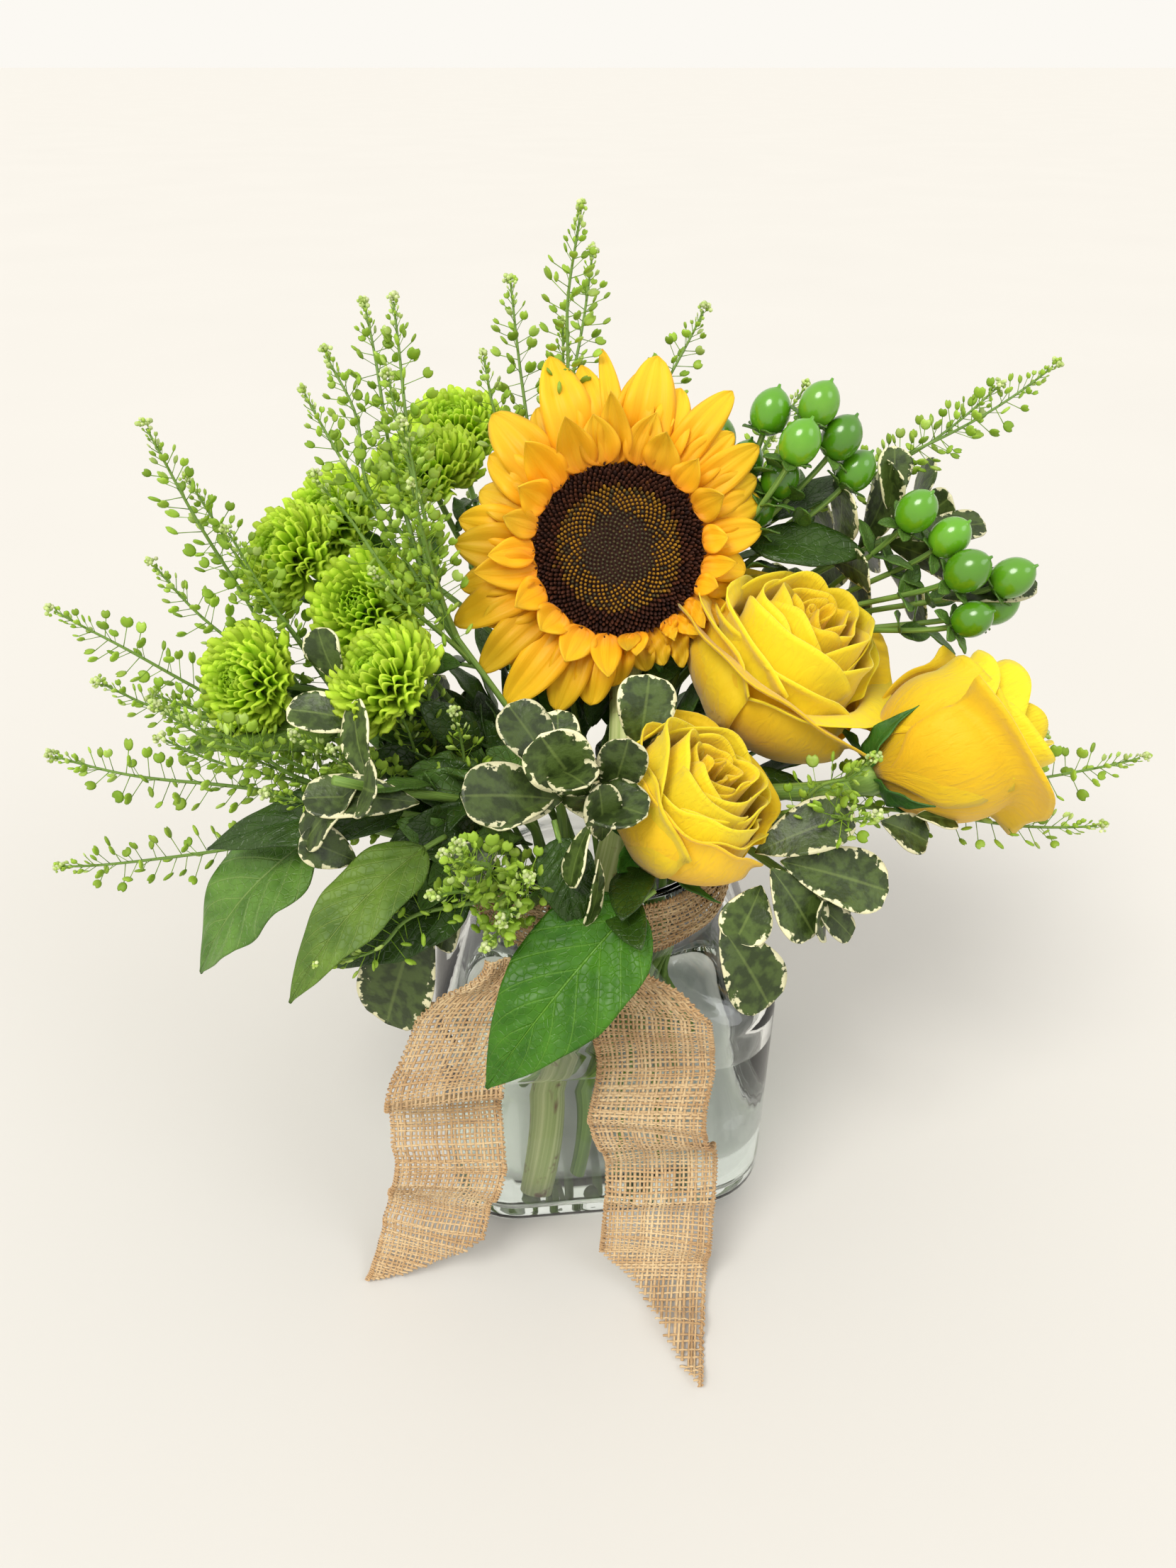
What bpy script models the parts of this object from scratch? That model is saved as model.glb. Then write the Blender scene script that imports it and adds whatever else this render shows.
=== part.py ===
"""A mixed bouquet with one sunflower, standing in a square glass jar tied with a burlap ribbon.

Units are metres and +Z is up. The origin is the centre of the jar's underside, and the front of
the bouquet faces -Y. Flowers are placed from the jar's rim: out past the neck, heading in degrees
(0 is the front, 90 the right-hand side), and up from the rim.
"""

import math
from dataclasses import dataclass

import bmesh
import bpy
from mathutils import Matrix, Vector

GAP = 0.0003  # left between pieces that touch

# Glass jar
JAR_SIDE = 0.118
JAR_CORNER = 0.025  # plan radius of the upright corners
JAR_HEIGHT = 0.140
JAR_WALL = 0.0035
JAR_FLOOR = 0.008
JAR_FOOT_ROUND = 0.010  # rounding between the underside and the sides
JAR_YAW = 5.5  # degrees, right-hand front corner turned forward
NECK_RADIUS = 0.044
NECK_LENGTH = 0.024
SHOULDER_DROP = 0.028  # height of the slope between the neck and the upright sides
WATER_DEPTH = JAR_HEIGHT * 33 / 70

# Burlap ribbon
RIBBON_WIDTH = 0.038
RIBBON_THICK = 0.0012
BAND_HEIGHT = 0.020
BAND_THICK = 0.0025
KNOT_SIZE = (0.026, 0.011, 0.020)

# Sunflower
DISC_RADIUS = 0.0275
DISC_DEPTH = 0.010
RAY_REACH = 0.050  # from the centre to the tips of the ray petals
RAY_THICK = 0.0014
RAY_LOBES = 13
SUN_STEM_RADIUS = 0.0058
SUN_CUP_RADIUS = 0.019  # green cup under the disc

# Roses, mums and berries
ROSE_STEM_RADIUS = 0.0028
ROSE_HIP_RADIUS = 0.0065
MUM_RADIUS = 0.0155
MUM_DEPTH = 0.017
MUM_STEM_RADIUS = 0.0018
BERRY_LENGTH = 0.015
BERRY_WIDTH = 0.012
TWIG_RADIUS = 0.0016

# Foliage
POD_STEM_RADIUS = 0.0011
POD_SPIKE_RADIUS = 0.0042  # closed envelope of the pods along a raceme
POD_SPIKE_LENGTH = 0.040
LEAF_THICK = 0.0008
SALAL_STEM_RADIUS = 0.0018
PITTOSPORUM_LEAF = (0.034, 0.015)  # length and width

# Stems in the jar
FOOT_TWIST = -96.0  # degrees that the bunch turns between the mouth and the feet
FOOT_LIFT = 0.003  # stem ends above the jar's floor
FOOT_MARGIN = 0.010  # outermost feet to the glass
STEM_LIFT = 0.004  # straight run of each stem above the rim

NECK_BORE = NECK_RADIUS - JAR_WALL
BUNCH_RADIUS = 0.044  # the flowers and leaves are laid out from this far off the axis
JAR_FRONT = JAR_SIDE / 2 - BUNCH_RADIUS  # the jar's front face, laid out the same way
RIM = Vector((0, 0, JAR_HEIGHT))
UP = Vector((0, 0, 1))


@dataclass(frozen=True)
class Finish:
    """A plain surface: linear colour, roughness and how much light passes through."""

    colour: tuple
    roughness: float
    transmission: float = 0.0


FINISHES = {
    "glass": Finish((0.90, 0.93, 0.92), 0.03, 1.0),
    "water": Finish((0.86, 0.92, 0.90), 0.02, 1.0),
    "burlap": Finish((0.53, 0.36, 0.20), 0.95),
    "ray_petal": Finish((0.96, 0.52, 0.01), 0.55),
    "seed_disc": Finish((0.06, 0.02, 0.01), 0.85),
    "rose_petal": Finish((0.96, 0.68, 0.02), 0.50),
    "mum_petal": Finish((0.24, 0.56, 0.03), 0.55),
    "berry": Finish((0.16, 0.42, 0.03), 0.25),
    "pod": Finish((0.30, 0.56, 0.06), 0.50),
    "green_stem": Finish((0.20, 0.33, 0.07), 0.55),
    "salal_leaf": Finish((0.03, 0.14, 0.02), 0.40),
    "variegated_leaf": Finish((0.10, 0.17, 0.08), 0.45),
}


@dataclass(frozen=True)
class Slot:
    """Where a stem passes the jar's mouth: a share of the bore, and a heading."""

    reach: float
    heading: float


@dataclass(frozen=True)
class Rose:
    """A rose by its seat on the stem, the centre of its mouth, its radius and its stem's slot.

    The lift is where its stem starts to bend: above the rim, or below it where the seat is low.
    """

    seat: tuple
    mouth: tuple
    radius: float
    slot: Slot
    lift: float = STEM_LIFT


@dataclass(frozen=True)
class Mum:
    """A button mum by its centre and the heading and tilt that it faces."""

    centre: tuple
    heading: float
    tilt: float


@dataclass(frozen=True)
class Sprig:
    """A branched flower stem: its slot, where it forks, and its tips with their rise at the end."""

    slot: Slot
    fork: tuple
    tips: tuple


@dataclass(frozen=True)
class Leaf:
    """A single leaf by base, tip, width, and the heading and tilt of its upper face."""

    base: tuple
    tip: tuple
    width: float
    heading: float
    tilt: float


SUNFLOWER_PLACE = (-0.015, 166, 0.088)
SUNFLOWER_FACING = (0, 27)  # heading and tilt
SUNFLOWER_MOUTH = (0.006, -0.016)  # where its stem passes the rim

ROSES = {
    "upper": Rose((0.012, 103, 0.025), (0.039, 103, 0.068), 0.025, Slot(0.56, 88)),
    "front": Rose((-0.005, 22, 0.010), (0.010, 46, 0.048), 0.024, Slot(0.84, 50), -0.036),
    "right": Rose((0.046, 80, 0.030), (0.094, 86, 0.052), 0.025, Slot(0.84, 84)),
}

MUMS_LEFT = Sprig(Slot(0.56, -95), (0.008, -116, 0.030), ())
MUMS_BACK = Sprig(Slot(0.56, -140), (0.000, -145, 0.040), ())
MUMS = {
    1: Mum((0.070, -110, 0.084), -80, 35),
    2: Mum((0.082, -128, 0.084), -60, 40),
    3: Mum((0.035, -102, 0.075), -30, 40),
    4: Mum((0.026, -79, 0.066), -60, 55),
    5: Mum((0.072, -91, 0.054), -50, 20),
    6: Mum((0.046, -138, 0.107), -60, 65),
    7: Mum((0.080, -154, 0.108), -30, 60),
}
MUM_BRANCHES = {"left": (MUMS_LEFT, (1, 3, 4, 5)), "back": (MUMS_BACK, (2, 6, 7))}

BERRY_SPRIGS = {
    "upper": Sprig(
        Slot(0.56, 125),
        (0.012, 140, 0.072),
        (
            (0.029, 131, 0.120),
            (0.043, 124, 0.110),
            (0.031, 129, 0.098),
            (0.038, 126, 0.120),
            (0.048, 121, 0.099),
            (0.024, 137, 0.112),
        ),
    ),
    "right": Sprig(
        Slot(0.56, 106),
        (0.045, 126, 0.054),
        (
            (0.070, 107, 0.088),
            (0.074, 99, 0.076),
            (0.084, 103, 0.068),
            (0.062, 106, 0.100),
        ),
    ),
}

POD_SPRIGS = {
    "crown": Sprig(
        Slot(0.28, -170),
        (0.004, -158, 0.075),
        ((0.016, -175, 0.184), (0.046, -179, 0.168), (0.044, -161, 0.160), (0.053, 158, 0.150)),
    ),
    "upper_left": Sprig(
        Slot(0.30, -110),
        (0.010, -102, 0.078),
        ((0.059, -133, 0.155), (0.044, -133, 0.158), (0.056, -121, 0.144), (0.050, -109, 0.137)),
    ),
    "left": Sprig(
        Slot(0.83, -104),
        (0.038, -100, 0.018),
        ((0.092, -98, 0.130), (0.104, -101, 0.083), (0.130, -94, 0.074)),
    ),
    "lower_left": Sprig(
        Slot(0.84, -72),
        (0.022, -84, 0.010),
        ((0.128, -84, 0.038), (0.087, -70, 0.070), (0.131, -80, 0.004)),
    ),
    "front": Sprig(
        Slot(0.84, -32),
        (0.012, -30, 0.012),
        ((0.046, -24, 0.050), (0.042, -18, 0.024), (0.066, -46, 0.004)),
    ),
    "upper_right": Sprig(
        Slot(0.56, 145),
        (0.014, 158, 0.055),
        ((0.124, 115, 0.136), (0.066, 139, 0.126), (0.112, 119, 0.128)),
    ),
    "right": Sprig(
        Slot(0.84, 106),
        (0.030, 97, 0.004),
        ((0.134, 88, 0.030), (0.116, 79, 0.020), (0.114, 98, 0.022)),
    ),
    "front_right": Sprig(
        Slot(0.60, 60),
        (0.020, 68, 0.020),
        ((0.054, 52, 0.044), (0.046, 62, 0.052)),
    ),
    "back": Sprig(
        Slot(0.84, 172),
        (0.016, 172, 0.018),
        ((0.090, 150, 0.098), (0.096, 176, 0.084), (0.088, -158, 0.074)),
    ),
}

SALAL_STEMS = {
    "left": (Slot(0.84, -50), ((0.012, -52, 0.014), (0.040, -66, 0.024))),
    "front": (Slot(0.84, -14), ((0.004, -10, 0.010), (0.010, 0, 0.012))),
    "back": (Slot(0.84, -176), ((0.012, -170, 0.012), (0.044, -150, 0.030))),
}
SALAL_LEAVES = {
    "front_large": Leaf(
        (JAR_FRONT, 22, 0.006), (JAR_FRONT + 0.035, -21, -0.034), 0.033, -14, 40
    ),
    "front_small": Leaf((0.011, -12, 0.032), (0.020, -6, 0.006), 0.018, 10, 20),
    "left_large": Leaf((0.050, -70, 0.018), (0.096, -69, -0.022), 0.040, -50, 50),
    "left_olive": Leaf((0.028, -46, 0.026), (0.080, -47, -0.001), 0.024, -20, 60),
    "left_long": Leaf((0.026, -58, 0.030), (0.084, -73, 0.018), 0.020, -40, 60),
    "left_dark": Leaf((0.020, -38, 0.008), (0.062, -56, -0.012), 0.022, -40, 40),
    "left_upper": Leaf((0.040, -85, 0.040), (0.092, -88, 0.034), 0.024, -60, 70),
    "back_left": Leaf((0.047, -145, 0.024), (0.098, -132, 0.004), 0.036, -150, 50),
    "back_low": Leaf((0.014, -162, 0.008), (0.064, -172, -0.036), 0.034, 176, 45),
    "back_right": Leaf((0.012, 158, 0.010), (0.064, 156, -0.030), 0.034, 150, 50),
}

PITTOSPORUM = {
    "front": (Slot(0.58, -30), (-0.001, -16, 0.040), (-14, 70), 66, 5),
    "front_right": (Slot(0.84, 67), (0.036, 62, 0.000), (60, 10), 20, 5),
    "front_left": (Slot(0.58, -58), (0.040, -56, 0.046), (-60, 30), 75, 5),
    "upper_right": (Slot(0.84, 150), (0.072, 120, 0.080), (110, 10), 0, 5),
    "back_right": (Slot(0.84, 132), (0.054, 138, 0.036), (140, -5), 40, 5),
    "back_left": (Slot(0.84, -140), (0.040, -124, 0.000), (-124, -5), 15, 5),
}

# Ribbon tails: how far across the inner edge is from the jar's middle, proud of its front face,
# and share of the knot's height, then how far the right-hand edge is ahead of and above the left one
TAIL_LEFT = (
    ((-0.021, 0.003, 1.00), (0.25, 0.30)),
    ((-0.018, 0.002, 0.86), (0.00, 0.10)),
    ((-0.028, 0.010, 0.71), (-0.10, 0.08)),
    ((-0.033, 0.007, 0.53), (0.00, 0.10)),
    ((-0.030, 0.013, 0.39), (0.10, 0.12)),
    ((-0.037, 0.013, 0.23), (0.25, 0.12)),
    ((-0.047, 0.020, 0.08), (0.30, 0.05)),
    ((-0.055, 0.027, 0.012), (0.32, 0.00)),
)
TAIL_RIGHT = (
    ((-0.005, 0.004, 1.00), (-0.10, 0.05)),
    ((-0.002, 0.002, 0.84), (0.10, 0.00)),
    ((-0.001, 0.009, 0.68), (-0.05, 0.00)),
    ((0.001, 0.008, 0.46), (0.05, -0.04)),
    ((0.004, 0.017, 0.37), (-0.05, 0.00)),
    ((0.000, 0.024, 0.21), (0.05, 0.00)),
    ((0.003, 0.036, 0.05), (0.00, 0.00)),
    ((0.009, 0.052, 0.010), (0.00, 0.00)),
)

parts = None
cutters = None
materials = {}


def heading_vector(heading, tilt=0.0):
    """Unit vector for a heading and a tilt above level, in degrees."""
    turn, lift = math.radians(heading), math.radians(tilt)
    return Vector((math.sin(turn) * math.cos(lift), -math.cos(turn) * math.cos(lift), math.sin(lift)))


def place(spot):
    """A point from (out past the bunch's radius, heading, up from the rim)."""
    out, heading, up = spot
    return RIM + heading_vector(heading) * (BUNCH_RADIUS + out) + UP * up


def mouth_point(slot):
    """Where a stem passes the plane of the rim."""
    return RIM + heading_vector(slot.heading) * (NECK_BORE * slot.reach)


def foot_point(slot):
    """Where that stem's cut end stands: the whole bunch is spread and turned from the mouth."""
    inner_half = JAR_SIDE / 2 - JAR_WALL
    reach = (inner_half - FOOT_MARGIN) * slot.reach
    return heading_vector(slot.heading + FOOT_TWIST) * reach + UP * (JAR_FLOOR + FOOT_LIFT)


def bend(start, start_pull, end, end_pull, count):
    """Points of a smooth curve that leaves start along start_pull and arrives along end_pull."""
    points = []
    for step in range(count + 1):
        t = step / count
        points.append(
            start * (2 * t**3 - 3 * t**2 + 1)
            + start_pull * (t**3 - 2 * t**2 + t)
            + end * (3 * t**2 - 2 * t**3)
            + end_pull * (t**3 - t**2)
        )
    return points


def back_along(line, distance):
    """The point on a line of points that lies this far back from its end."""
    for after, before in zip(line[::-1], line[-2::-1]):
        step = (before - after).length
        if distance <= step:
            return after.lerp(before, distance / step)
        distance -= step
    return line[0].copy()


def add_part(obj, finish):
    """Put an object in the bouquet's collection with its material."""
    obj.data.materials.clear()
    obj.data.materials.append(materials[finish])
    parts.objects.link(obj)
    return obj


def mesh_object(name, build, shade=50):
    """An object from a function that fills a bmesh."""
    mesh = bpy.data.meshes.new(name)
    work = bmesh.new()
    build(work)
    bmesh.ops.recalc_face_normals(work, faces=work.faces)
    work.to_mesh(mesh)
    work.free()
    mesh.shade_smooth()
    mesh.set_sharp_from_angle(angle=math.radians(shade))
    return bpy.data.objects.new(name, mesh)


def tube_curve(name, points, radii, sides):
    """A tapering tube along a line of points, as a bevelled curve."""
    curve = bpy.data.curves.new(name, "CURVE")
    curve.dimensions = "3D"
    curve.bevel_depth = max(radii)
    curve.bevel_resolution = sides // 2 - 2
    curve.use_fill_caps = True
    spline = curve.splines.new("POLY")
    spline.points.add(len(points) - 1)
    for knot, point, radius in zip(spline.points, points, radii):
        knot.co = (*point, 1)
        knot.radius = radius / curve.bevel_depth
    return bpy.data.objects.new(name, curve)


def tube_mesh(name, points, radii, sides):
    """The same tube as one closed mesh, for a piece that is cut or joined."""
    guide = tube_curve(name + "_guide", points, radii, sides)
    cutters.objects.link(guide)
    graph = bpy.context.evaluated_depsgraph_get()
    mesh = bpy.data.meshes.new_from_object(guide.evaluated_get(graph))
    mesh.name = name
    bpy.data.objects.remove(guide)
    work = bmesh.new()
    work.from_mesh(mesh)
    bmesh.ops.remove_doubles(work, verts=work.verts, dist=0.00001)
    work.to_mesh(mesh)
    work.free()
    return bpy.data.objects.new(name, mesh)


def join_limbs(name, trunk, limbs, finish):
    """One solid from a trunk and the limbs that grow out of it."""
    group = bpy.data.collections.new(name + "_limbs")
    cutters.children.link(group)
    for limb in limbs:
        limb.hide_render = True
        limb.display_type = "WIRE"
        group.objects.link(limb)
    union = trunk.modifiers.new("limbs", "BOOLEAN")
    union.operation = "UNION"
    union.operand_type = "COLLECTION"
    union.collection = group
    union.solver = "EXACT"
    return add_part(trunk, finish)


def turned(name, profile, steps, frame, finish):
    """A solid of revolution from (radius, height) pairs, outer side first, set on a frame."""

    def build(work):
        verts = [work.verts.new((radius, 0, height)) for radius, height in profile]
        for first, second in zip(verts, verts[1:]):
            work.edges.new((first, second))

    mesh = bpy.data.meshes.new(name)
    work = bmesh.new()
    build(work)
    work.to_mesh(mesh)
    work.free()
    obj = bpy.data.objects.new(name, mesh)
    screw = obj.modifiers.new("turn", "SCREW")
    screw.steps = screw.render_steps = steps
    screw.use_merge_vertices = True
    screw.merge_threshold = 0.00001
    screw.use_smooth_shade = True
    obj.matrix_world = frame
    return add_part(obj, finish)


def frame_towards(centre, axis):
    """A placement whose +Z runs along axis."""
    return Matrix.Translation(centre) @ axis.to_track_quat("Z", "Y").to_matrix().to_4x4()


def outline_radius(half, corner, angle):
    """Distance from the centre to a rounded square's edge in one direction."""
    across = max(abs(math.cos(angle)), abs(math.sin(angle)))
    along = min(abs(math.cos(angle)), abs(math.sin(angle)))
    flat = half / across
    if flat * along <= half - corner:
        return flat
    centre = half - corner
    middle = centre * (across + along)
    return middle + math.sqrt(max(middle * middle - 2 * centre * centre + corner * corner, 0))


def loft_jar(work, sections, around=32):
    """Skin rounded-square sections, given as (half width, corner radius, height), and cap both ends."""
    rings = []
    for half, corner, height in sections:
        ring = []
        for step in range(around):
            angle = 2 * math.pi * step / around
            reach = outline_radius(half, corner, angle)
            turn = angle + math.radians(JAR_YAW)
            ring.append(work.verts.new((reach * math.cos(turn), reach * math.sin(turn), height)))
        rings.append(ring)
    for lower, upper in zip(rings, rings[1:]):
        for step in range(around):
            after = (step + 1) % around
            work.faces.new((lower[step], lower[after], upper[after], upper[step]))
    work.faces.new(rings[0][::-1])
    work.faces.new(rings[-1])


def jar_sections(inset, floor, top, foot_steps=3):
    """Sections of the jar's outside, or of a surface a constant distance inside it."""
    half, corner = JAR_SIDE / 2 - inset, JAR_CORNER - inset
    neck = NECK_RADIUS - inset
    foot = max(JAR_FOOT_ROUND - inset, 0.004)
    shoulder_top = JAR_HEIGHT - NECK_LENGTH
    shoulder_foot = shoulder_top - SHOULDER_DROP
    sections = []
    for step in range(foot_steps + 1):
        angle = math.pi / 2 * step / foot_steps
        pull = foot * (1 - math.sin(angle))
        sections.append((half - pull, corner, floor + foot * (1 - math.cos(angle))))
    for step in range(5):
        t = step / 4
        ease = t * t * (3 - 2 * t)
        height = shoulder_foot + SHOULDER_DROP * t
        sections.append((half + (neck - half) * ease, corner + (neck - corner) * ease, height))
    kept = [section for section in sections if section[2] < top - 0.0005]
    last = kept[-1]
    if top > shoulder_top:
        kept.append((neck, neck, top))
    else:
        kept.append((last[0], last[1], top))
    return kept


def make_jar():
    """The glass jar, and the water that fills it around the stems."""

    def build(work):
        lip = JAR_WALL / 2
        outside = jar_sections(0, 0, JAR_HEIGHT - lip)
        inside = jar_sections(JAR_WALL, JAR_FLOOR, JAR_HEIGHT - lip)
        crown = [(NECK_RADIUS - lip, NECK_RADIUS - lip, JAR_HEIGHT)]
        loft_jar(work, outside + crown + inside[::-1])

    add_part(mesh_object("glass_jar", build, 35), "glass")


def make_water(stems):
    """The water, cut back around every stem that stands in it."""

    def build(work):
        floor = JAR_FLOOR + GAP
        loft_jar(work, jar_sections(JAR_WALL + GAP, floor, floor + WATER_DEPTH))

    water = mesh_object("jar_water", build, 35)
    holes = bpy.data.collections.new("water_holes")
    cutters.children.link(holes)
    for name, (points, radius, sides) in stems.items():
        along = (points[1] - points[0]).normalized()
        run = [points[0] - along * GAP, points[1]]
        hole = tube_mesh(name + "_hole", run, [radius + GAP] * 2, sides)
        hole.hide_render = True
        hole.display_type = "WIRE"
        holes.objects.link(hole)
    cut = water.modifiers.new("stems", "BOOLEAN")
    cut.operation = "DIFFERENCE"
    cut.operand_type = "COLLECTION"
    cut.collection = holes
    cut.solver = "EXACT"
    add_part(water, "water")


def ribbon_strip(name, stations, hand):
    """A ribbon tail: a strip through its stations, on one hand (-1 or 1) of its inner edge."""
    knot_height = JAR_HEIGHT - NECK_LENGTH / 2
    centres, sides = [], []
    for (across, proud, share), (ahead, above) in stations:
        height = max(share * knot_height, RIBBON_THICK)
        middle = across + hand * RIBBON_WIDTH / 2
        centres.append(Vector((middle, -JAR_SIDE / 2 - proud, height)))
        sides.append(Vector((1, -ahead, above)).normalized())
    rows, columns = 3 * (len(stations) - 1), 2
    half = RIBBON_WIDTH / 2

    def smooth(values, t):
        index = min(int(t), len(values) - 2)
        before, after = values[max(index - 1, 0)], values[min(index + 2, len(values) - 1)]
        start, end = values[index], values[index + 1]
        return bend(start, (end - before) / 2, end, (after - start) / 2, 30)[round((t - index) * 30)]

    def build(work):
        bmesh.ops.create_grid(work, x_segments=columns, y_segments=rows, size=1)
        for vert in work.verts:
            t = (vert.co.y + 1) / 2 * (len(stations) - 1)
            side = smooth(sides, t).normalized()
            point = smooth(centres, t) + side * (vert.co.x * half)
            point.z = max(point.z, RIBBON_THICK / 2 + 0.0001)
            vert.co = point

    strip = mesh_object(name, build, 60)
    solid = strip.modifiers.new("cloth", "SOLIDIFY")
    solid.thickness = RIBBON_THICK
    solid.offset = 0
    add_part(strip, "burlap")


def make_ribbon():
    """The band round the neck, its knot and the two tails."""
    inner = NECK_RADIUS + GAP
    middle = JAR_HEIGHT - NECK_LENGTH / 2
    low, high = middle - BAND_HEIGHT / 2, middle + BAND_HEIGHT / 2
    outer = inner + BAND_THICK
    crown = BAND_THICK / 3
    profile = (
        (outer - crown, high), (outer, high - crown), (outer, low + crown), (outer - crown, low),
        (inner, low), (inner, high), (outer - crown, high),
    )  # fmt: skip
    turned("ribbon_band", profile, 32, Matrix(), "burlap")

    width, depth, height = KNOT_SIZE

    def build(work):
        bmesh.ops.create_cube(work, size=1)
        for vert in work.verts:
            vert.co = Vector((vert.co.x * width, vert.co.y * depth, vert.co.z * height)) * 1.15

    knot = mesh_object("ribbon_knot", build, 60)
    knot.location = (0, -outer - GAP - depth / 2 - 0.002, middle)
    rounding = knot.modifiers.new("soft", "SUBSURF")
    rounding.levels = rounding.render_levels = 2
    add_part(knot, "burlap")
    ribbon_strip("ribbon_tail_left", TAIL_LEFT, -1)
    ribbon_strip("ribbon_tail_right", TAIL_RIGHT, 1)


def rising_stem(slot, seat, arrive, lift=STEM_LIFT, steps=7):
    """A stem's points: straight from its foot to near the mouth, then bending to its seat."""
    foot, mouth = foot_point(slot), mouth_point(slot)
    along = (mouth - foot).normalized()
    clear = mouth + along * lift
    reach = (seat - clear).length * 0.8
    return [foot, clear] + bend(clear, along * reach, seat, arrive * reach, steps)[1:]


def make_sunflower(stems):
    """The seed disc, the ring of ray petals, and the stem with its green cup."""
    centre = place(SUNFLOWER_PLACE)
    axis = heading_vector(*SUNFLOWER_FACING)
    frame = frame_towards(centre, axis)
    dome = []
    for step in range(6):
        angle = math.pi / 2 * step / 5
        dome.append((DISC_RADIUS * math.sin(angle), DISC_DEPTH * 0.55 * math.cos(angle)))
    profile = dome + [(DISC_RADIUS * 0.96, -DISC_DEPTH * 0.3), (DISC_RADIUS * 0.7, -DISC_DEPTH * 0.45)]
    turned("sunflower_disc", profile + [(0, -DISC_DEPTH * 0.45)], 20, frame, "seed_disc")

    root = DISC_RADIUS + GAP + 0.0004
    steps = RAY_LOBES * 4

    def build(work):
        rings = []
        for share in (0.0, 0.55, 1.0):
            ring = []
            for step in range(steps):
                angle = 2 * math.pi * step / steps
                lobe = 0.80 + 0.20 * math.cos(RAY_LOBES * angle) ** 2
                reach = root + (RAY_REACH * lobe - root) * share
                lift = -0.002 + 0.006 * share
                point = (reach * math.cos(angle), reach * math.sin(angle), lift)
                ring.append(work.verts.new(point))
            rings.append(ring)
        for inner, outer in zip(rings, rings[1:]):
            for step in range(steps):
                after = (step + 1) % steps
                work.faces.new((inner[step], outer[step], outer[after], inner[after]))

    rays = mesh_object("sunflower_petals", build)
    rays.matrix_world = frame
    solid = rays.modifiers.new("petal", "SOLIDIFY")
    solid.thickness = RAY_THICK
    solid.offset = 0
    add_part(rays, "ray_petal")

    seat = centre - axis * (DISC_DEPTH * 0.45 + GAP)
    inner_half = JAR_SIDE / 2 - JAR_WALL
    foot = Vector((-0.41 * inner_half, -inner_half + SUN_STEM_RADIUS + 0.003, JAR_FLOOR + FOOT_LIFT))
    mouth = RIM + Vector((*SUNFLOWER_MOUTH, 0))
    along = (mouth - foot).normalized()
    clear = mouth + along * STEM_LIFT
    neck = seat - axis * 0.012
    reach = (neck - clear).length
    points = [foot, clear] + bend(clear, along * reach, neck, axis * reach, 8)[1:]
    radii = [SUN_STEM_RADIUS] * (len(points) - 1) + [SUN_STEM_RADIUS * 1.3]
    points += [seat - axis * 0.005, seat]
    radii += [SUN_CUP_RADIUS * 0.8, SUN_CUP_RADIUS]
    stems["sunflower"] = ((foot, clear), SUN_STEM_RADIUS, 10)
    add_part(tube_curve("sunflower_stem", points, radii, 10), "green_stem")


def make_rose(name, rose, stems):
    """A bloom as a rounded cup, and its stem ending in the hip that it sits on."""
    seat, mouth = place(rose.seat), place(rose.mouth)
    axis = (mouth - seat).normalized()
    length = (mouth - seat).length
    shape = (
        (0.0, 0.96), (0.45, 1.0), (0.80, 0.97), (0.96, 0.84), (1.0, 0.66),
        (0.96, 0.46), (0.80, 0.26), (0.52, 0.10), (0.26, 0.0), (0.0, 0.0),
    )  # fmt: skip
    profile = [(rose.radius * across, length * up) for across, up in shape]
    turned(f"rose_{name}_bloom", profile, 14, frame_towards(seat, axis), "rose_petal")
    end = seat - axis * GAP
    points = rising_stem(rose.slot, end - axis * 0.008, axis, rose.lift)
    radii = [ROSE_STEM_RADIUS] * len(points)
    points += [end - axis * 0.004, end]
    radii += [ROSE_HIP_RADIUS, ROSE_HIP_RADIUS * 0.85]
    stems[f"rose_{name}"] = (points[:2], ROSE_STEM_RADIUS, 8)
    add_part(tube_curve(f"rose_{name}_stem", points, radii, 8), "green_stem")


def make_mums(stems):
    """Seven button heads, and the two branched stems that carry them."""
    shape = ((0.0, 0.5), (0.5, 0.46), (0.85, 0.25), (1.0, 0.0), (0.8, -0.3), (0.35, -0.5), (0.0, -0.5))
    profile = [(MUM_RADIUS * across, MUM_DEPTH * up) for across, up in shape]
    for number, mum in MUMS.items():
        frame = frame_towards(place(mum.centre), heading_vector(mum.heading, mum.tilt))
        turned(f"mum_head_{number}", profile, 10, frame, "mum_petal")
    for side, (sprig, numbers) in MUM_BRANCHES.items():
        ends = []
        for number in numbers:
            mum = MUMS[number]
            axis = heading_vector(mum.heading, mum.tilt)
            ends.append((place(mum.centre) - axis * (MUM_DEPTH / 2 + GAP), axis))
        make_branched(f"mum_stem_{side}", sprig, ends, MUM_STEM_RADIUS, stems)


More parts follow.
